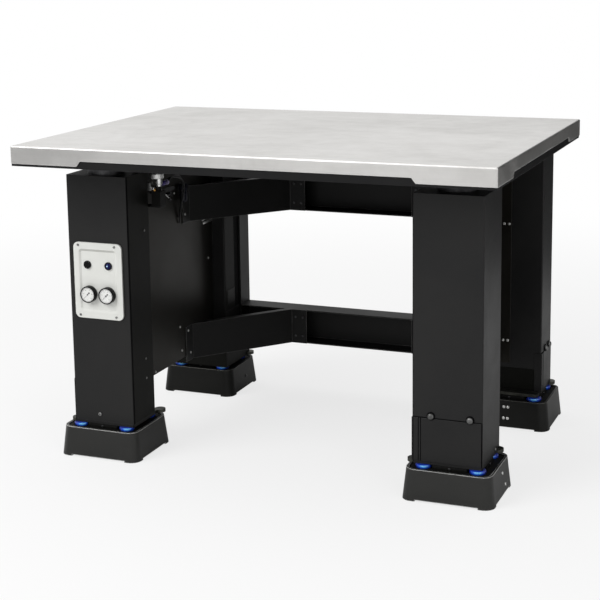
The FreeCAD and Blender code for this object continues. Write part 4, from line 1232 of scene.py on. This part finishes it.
    def painted_glint(self) -> Piece:
        """Small pale spot on the middle of the blue lens: a painted glint."""
        place = seat("blue_button", 1) + Vector(self.glint_shift)
        spot = Shape().turned(((0.0022, 0.0), (0.0021, 0.0006), (0.0015, 0.0010), (0.0, 0.0012)), 28)
        return spot.moved(standing(place, Facing.FRONT)).piece("blue_button_painted_glint", LENS_GLINT, "button_blue")

    def screws(self) -> Piece:
        """Four dark screws at the corners of the panel."""
        middle = seat("control_panel", 0)
        points = [middle + Vector((self.screw_shift + x * self.screw_x, 0.0, z * self.screw_z))
                  for x in (-1, 1) for z in (-1, 1)]
        return fasten("panel_screws", Facing.FRONT, points, SMALL_SCREW, DULL_STEEL, "panel_white")

    def build(self) -> Pieces:
        """Dress the panel and make its fittings."""
        self.dress(PANEL_PAINT, "control_panel")
        self.dress(DIAL, "gauge_dials")
        return [*self.gauges(), self.printing(), self.needles(), self.screws(),
                *self.button("black_button", self.plain_cap, BLACK_PLASTIC),
                *self.button("blue_button", self.domed_cap, BLUE_LENS), self.painted_glint()]


@dataclass
class LevellingValve(SubAssembly):
    """Valve that keeps the tabletop level, on the left side plate."""

    nut_radius: float = 0.0060
    nut_height: float = 0.008
    nut_place: Place = (-0.0095, -0.004, -0.002)
    pad_radius: float = 0.0172
    pad_shift: float = -0.0030
    head_shift: float = 0.005
    union_radius: float = 0.0064
    union_place: Place = (0.004, -0.002, 0.0170)
    guide_size: Place = (0.010, 0.018, 0.022)
    guide_place: Place = (-0.002, 0.001, 0.002)
    knob_place: Place = (-0.010, -0.004, 0.0085)
    rod: float = 0.0014
    rod_line: tuple[Place, ...] = ((0.004, 0.004, 0.004), (0.004, 0.030, -0.014), (0.004, 0.054, -0.030))
    tip: float = 0.0030
    tip_line: tuple[Place, ...] = ((0.004, 0.050, -0.0274), (0.004, 0.060, -0.034))
    tube: float = 0.0020
    tubes_start: Place = (0.000, 0.044, 0.0150)
    bowl_place: Place = (0.015, 0.062, 0.610)

    def near(self, spot: Place) -> Vector:
        """Point measured from the top of the valve's block on the axis of its stem."""
        pad = centre("valve_pad")
        return Vector((pad.x, pad.y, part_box("valve_arm")[1].z)) + Vector(spot)

    def pad(self) -> Pieces:
        """Pad that feels the tabletop, with its stem, and the machined head of the valve beneath it."""
        low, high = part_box("valve_pad")
        middle = centre("valve_pad")
        place = Matrix.Translation((middle.x + self.pad_shift, middle.y, low.z))
        radius = self.pad_radius
        top = high.z - low.z
        pad = Shape().turned(((0.0, top), (0.005, top), (0.005, 0.0225), (radius - 0.0008, 0.0225),
                              (radius, 0.0217), (radius, 0.0108), (radius - 0.0008, 0.0100), (0.0, 0.0100)),
                             48)
        head = Shape().turned(((0.0, 0.0100), (0.0088, 0.0100), (0.0088, -0.0040), (0.0078, -0.0050),
                               (0.0078, -0.0105), (0.0, -0.0105)), 36)
        head.moved(place @ Matrix.Translation((self.head_shift, 0.0, 0.0)))
        pads = pad.moved(place).piece("valve_pad_disc", PAD_METAL, "valve_metal")
        return [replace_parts(pads, "valve_pad"), head.piece("valve_head", ALUMINIUM, "valve_metal")]

    def nut(self) -> Piece:
        """Brass nut round the stem."""
        radius = self.nut_radius
        collar = Shape().turned(((0.0, self.nut_height), (radius * 0.82, self.nut_height),
                                 (radius, self.nut_height * 0.86), (radius, 0.0), (0.0, 0.0)), 24)
        collar.radially(radius, hexagon).moved(Matrix.Translation(self.near(self.nut_place)))
        return collar.piece("valve_nut", BRASS, "valve_metal")

    def union(self) -> Pieces:
        """Push-in union with a pale collar and a darker body, pointing to the back."""
        radius = self.union_radius
        body = Shape().turned(((0.0, 0.0), (radius * 0.8, 0.0), (radius * 0.9, 0.001), (radius * 0.9, 0.022),
                               (radius, 0.0225), (radius, 0.036), (radius * 0.92, 0.0368), (0.0, 0.0368)), 32)
        collar = Shape().turned(((0.0, 0.0365), (radius * 0.98, 0.0365), (radius * 1.12, 0.038),
                                 (radius * 1.12, 0.043), (radius * 0.9, 0.0455), (radius * 0.5, 0.0455),
                                 (radius * 0.5, 0.044), (0.0, 0.044)), 32)
        place = standing(self.near(self.union_place), Facing.BACK)
        return [body.moved(place).piece("union_body", DEEP_VIOLET, "valve_metal"),
                collar.moved(place).piece("union_collar", VIOLET_PLASTIC, "valve_metal")]

    def bars(self) -> Pieces:
        """Machined guide and knob beside the stem, and the thin rod of the valve with its tip."""
        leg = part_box("leg_front_left")[1]
        base = Vector((leg.x, leg.y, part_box("valve_arm")[1].z)) + Vector(self.guide_place)
        guide = Shape().bar(base, base + Vector(self.guide_size), 0.0012)
        knob = Shape().turned(((0.0, 0.013), (0.0040, 0.013), (0.0052, 0.0115), (0.0052, 0.0), (0.0, 0.0)),
                              24)
        knob.moved(standing(self.near(self.knob_place), Facing.FRONT))
        rod = Shape().tubing([self.near(spot) for spot in self.rod_line], self.rod, 10)
        tip = Shape().tubing([self.near(spot) for spot in self.tip_line], self.tip, 16)
        return [guide.piece("valve_guide", DULL_STEEL, "valve_metal"),
                knob.piece("valve_knob", ALUMINIUM, "valve_metal"),
                rod.piece("valve_rod", ZINC, "valve_metal"),
                tip.piece("valve_rod_tip", BEZEL, "button_black")]

    def tubes(self) -> Piece:
        """Two thin black tubes that loop from the union down to the side plate."""
        start = self.near(self.tubes_start)
        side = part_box("side_plate_left")[1].x
        made = Shape()
        for shift, drop in ((-0.0027, 0.0), (0.0027, 0.016)):
            made.tubing((start + Vector((shift, 0.0, 0.0)), start + Vector((shift, 0.028, 0.010)),
                         start + Vector((shift - 0.006, 0.090, 0.004 - drop / 2)),
                         start + Vector((shift - 0.020, 0.140, -0.026 - drop / 2)),
                         Vector((side + 0.014, start.y + 0.172, start.z - 0.074 - drop)),
                         Vector((side + 0.002, start.y + 0.180, start.z - 0.128 - drop))), self.tube)
        return made.piece("valve_tubes", HOSE, "tube_black")

    def bowl(self) -> Piece:
        """Small dark filter bowl on the side plate."""
        bowl = Shape().turned(((0.0, 0.052), (0.011, 0.052), (0.013, 0.050), (0.013, 0.038), (0.0112, 0.0375),
                               (0.0112, 0.008), (0.0095, 0.003), (0.006, 0.0), (0.0, 0.0)), 40)
        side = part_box("side_plate_left")[1].x
        bowl.moved(Matrix.Translation(Vector((side, 0.0, 0.0)) + Vector(self.bowl_place)))
        return bowl.piece("filter_bowl", BOWL, "tube_black")

    def build(self) -> Pieces:
        """Dress the valve and make its fittings."""
        self.dress(INNER_SHEET, "valve_bracket", "valve_body")
        self.dress(BLACK_OXIDE, "valve_arm")
        self.dress(HOSE, "air_tube")
        return [*self.pad(), self.nut(), *self.union(), *self.bars(), self.tubes(), self.bowl()]


@dataclass(frozen=True)
class Lamp:
    """Square soft lamp that looks at the middle of the bench."""

    name: str
    place: Place
    size: float
    watts: float
    target: Place = (0.0, 0.0, 0.45)

    def light(self) -> Piece:
        """Make the lamp."""
        data = bpy.data.lights.new(self.name, "AREA")
        data.size = self.size
        data.energy = self.watts
        made = bpy.data.objects.new(self.name, data)
        turn = (Vector(self.target) - Vector(self.place)).to_track_quat("-Z", "Y").to_matrix().to_4x4()
        made.matrix_world = Matrix.Translation(self.place) @ turn
        bpy.context.scene.collection.objects.link(made)
        return made


@dataclass(frozen=True)
class Screen:
    """Upright screen across the room that only glossy rays see, from the floor to its height."""

    name: str
    left: float
    right: float
    depth: float
    height: float
    grey: float

    def put(self) -> Piece:
        """Make the screen."""
        material = bpy.data.materials.new(self.name)
        graph = Graph(material)
        graph.show(graph.node("Emission", {"Color": (self.grey, self.grey, self.grey)}))
        middle = Matrix.Translation(((self.left + self.right) / 2, self.depth, self.height / 2))
        stretch = Matrix.Diagonal((self.right - self.left, self.height, 1.0, 1.0))
        made = staged(self.name, middle @ Matrix.Rotation(math.radians(90), 4, "X") @ stretch, material)
        for kind in ("camera", "diffuse", "shadow", "transmission"):
            setattr(made, f"visible_{kind}", False)
        return made


def staged(name: str, place: Matrix, material: bpy.types.Material) -> Piece:
    """Flat square of the studio.

    Args:
        name: name of the object.
        place: what a square metre about the origin is moved by.
        material: its material.

    Returns:
        The object.
    """
    shape = bmesh.new()
    bmesh.ops.create_grid(shape, x_segments=1, y_segments=1, size=0.5, matrix=place)
    data = bpy.data.meshes.new(name)
    shape.to_mesh(data)
    shape.free()
    data.materials.append(material)
    made = bpy.data.objects.new(name, data)
    bpy.context.scene.collection.objects.link(made)
    return made


@dataclass(frozen=True)
class Viewpoint:
    """Camera fitted to the photograph's corners; rows and the focal length are in its pixels."""

    place: Place = (1.36158, -3.45215, 1.30210)
    yaw: float = 0.38281
    pitch: float = 0.18159
    roll: float = 0.013744
    focal: float = 1452.958
    frame_size: float = 600.0
    middle_row: float = 210.0
    sensor: float = 36.0

    def camera(self) -> Piece:
        """Make the camera and make it the scene's own."""
        turn = (Matrix.Rotation(self.yaw, 4, "Z") @ Matrix.Rotation(math.pi / 2 - self.pitch, 4, "X")
                @ Matrix.Rotation(-self.roll, 4, "Z"))
        data = bpy.data.cameras.new("camera")
        data.sensor_width = self.sensor
        data.lens = self.focal / self.frame_size * self.sensor
        data.shift_y = (self.middle_row - self.frame_size / 2) / self.frame_size
        data.clip_end = 200.0
        made = bpy.data.objects.new("camera", data)
        made.matrix_world = Matrix.Translation(self.place) @ turn
        bpy.context.scene.collection.objects.link(made)
        bpy.context.scene.camera = made
        return made


@dataclass
class Studio:
    """Pale floor, soft lamps, white surroundings and the camera."""

    floor_size: float = 120.0
    floor_white: Colour = (0.90, 0.90, 0.90)
    own_light: float = 0.74
    mirrored: float = 0.35
    plain_from: float = 1.4
    plain_at: float = 3.6
    ambient: float = 0.50
    # Painted shadow of the bench on the floor, seen only in reflections: its strength and its edges.
    shade: float = 0.22
    shade_side: Spot = (0.60, 0.85)
    shade_back: Spot = (1.20, 1.90)
    shade_front: Spot = (-0.34, -0.46)
    screens: tuple[Screen, ...] = (Screen("dark_screen", 0.70, 7.0, 2.0, 4.5, 0.004),
                                   Screen("back_screen", -7.0, 0.70, 2.6, 1.3, 0.66),
                                   Screen("grey_screen", -7.0, -1.2, -2.4, 2.2, 0.20))
    lamps: tuple[Lamp, ...] = (Lamp("key_lamp", (-2.6, -3.4, 3.4), 3.2, 155.0),
                               Lamp("fill_lamp", (3.4, -2.6, 2.2), 2.4, 14.0),
                               Lamp("top_lamp", (-0.3, 0.6, 3.6), 3.4, 20.0),
                               Lamp("glint_lamp", (2.4, -2.2, 3.4), 0.35, 5.0))

    def clear(self, graph: Graph) -> Socket:
        """How much of the floor's glow a gloss sees: less under the bench and close behind it, a painted
        shadow of the bench that only reflections show.
        """
        parts = graph.node("SeparateXYZ", {"Vector": graph.position}).outputs
        total: object = self.shade
        for source, ends in ((graph.maths("ABSOLUTE", parts["X"]), self.shade_side),
                             (parts["Y"], self.shade_back), (parts["Y"], self.shade_front)):
            total = graph.maths("MAXIMUM", total, graph.span(source, *ends, self.shade, 1.0, "SMOOTHSTEP"))
        return total

    def seen(self, graph: Graph) -> Socket:
        """Number that is 1 for a ray that comes from the camera, a gloss or clear stuff."""
        path = graph.node("LightPath").outputs
        total = path["Is Camera Ray"]
        for name in ("Is Glossy Ray", "Is Transmission Ray"):
            total = graph.maths("MAXIMUM", total, path[name])
        return total

    def world(self) -> None:
        """White surroundings for the eye, softer light for the object."""
        world = bpy.data.worlds.new("studio")
        graph = Graph(world)
        lighting, shown = (graph.node("Background", {"Color": WHITE, "Strength": strength}).outputs[0]
                           for strength in (self.ambient, 1.0))
        graph.show(graph.node("MixShader", {0: self.seen(graph), 1: lighting, 2: shown}), "World")
        bpy.context.scene.world = world

    def floor(self) -> Piece:
        """Wide floor that keeps the object's shadow."""
        material = bpy.data.materials.new("studio_floor")
        graph = Graph(material)
        matt = graph.node("BsdfDiffuse", {"Color": self.floor_white}).outputs[0]
        glow = graph.node("Emission").outputs[0]
        fade = graph.span(graph.vectors("LENGTH", graph.position), self.plain_from, self.plain_at,
                          self.own_light, 1.0, "SMOOTHSTEP")
        share = graph.maths("MULTIPLY", self.seen(graph), fade)
        # Floor glow for glossy rays, with the painted shadow of the bench.
        glow_with_painted_shadow = graph.maths("MULTIPLY", self.clear(graph), self.mirrored)
        glossy = graph.span(graph.node("LightPath").outputs["Is Glossy Ray"], 0.0, 1.0, 1.0, glow_with_painted_shadow)
        graph.show(graph.node("MixShader", {0: graph.maths("MULTIPLY", share, glossy), 1: matt, 2: glow}))
        return staged("studio_floor", Matrix.Diagonal((self.floor_size, self.floor_size, 1.0, 1.0)), material)

    def build(self) -> None:
        """Set up world, floor, screens, lamps and camera."""
        self.world()
        self.floor()
        for screen in self.screens:
            screen.put()
        for lamp in self.lamps:
            lamp.light()
        Viewpoint().camera()


def main() -> None:
    """Build the groups in order and report each piece."""
    logging.basicConfig(level=logging.INFO, format="%(name)s: %(message)s")
    bpy.context.scene.view_settings.view_transform = "Standard"
    Studio().build()
    for group in (Tabletop(), LegHousings(), Feet(), RearFrame(), ControlPanel(), LevellingValve()):
        made = group.build()
        LOG.info("%s: %s", type(group).__name__, ", ".join(item.name for item in made) or "dressed")


if __name__ == "__main__":
    main()
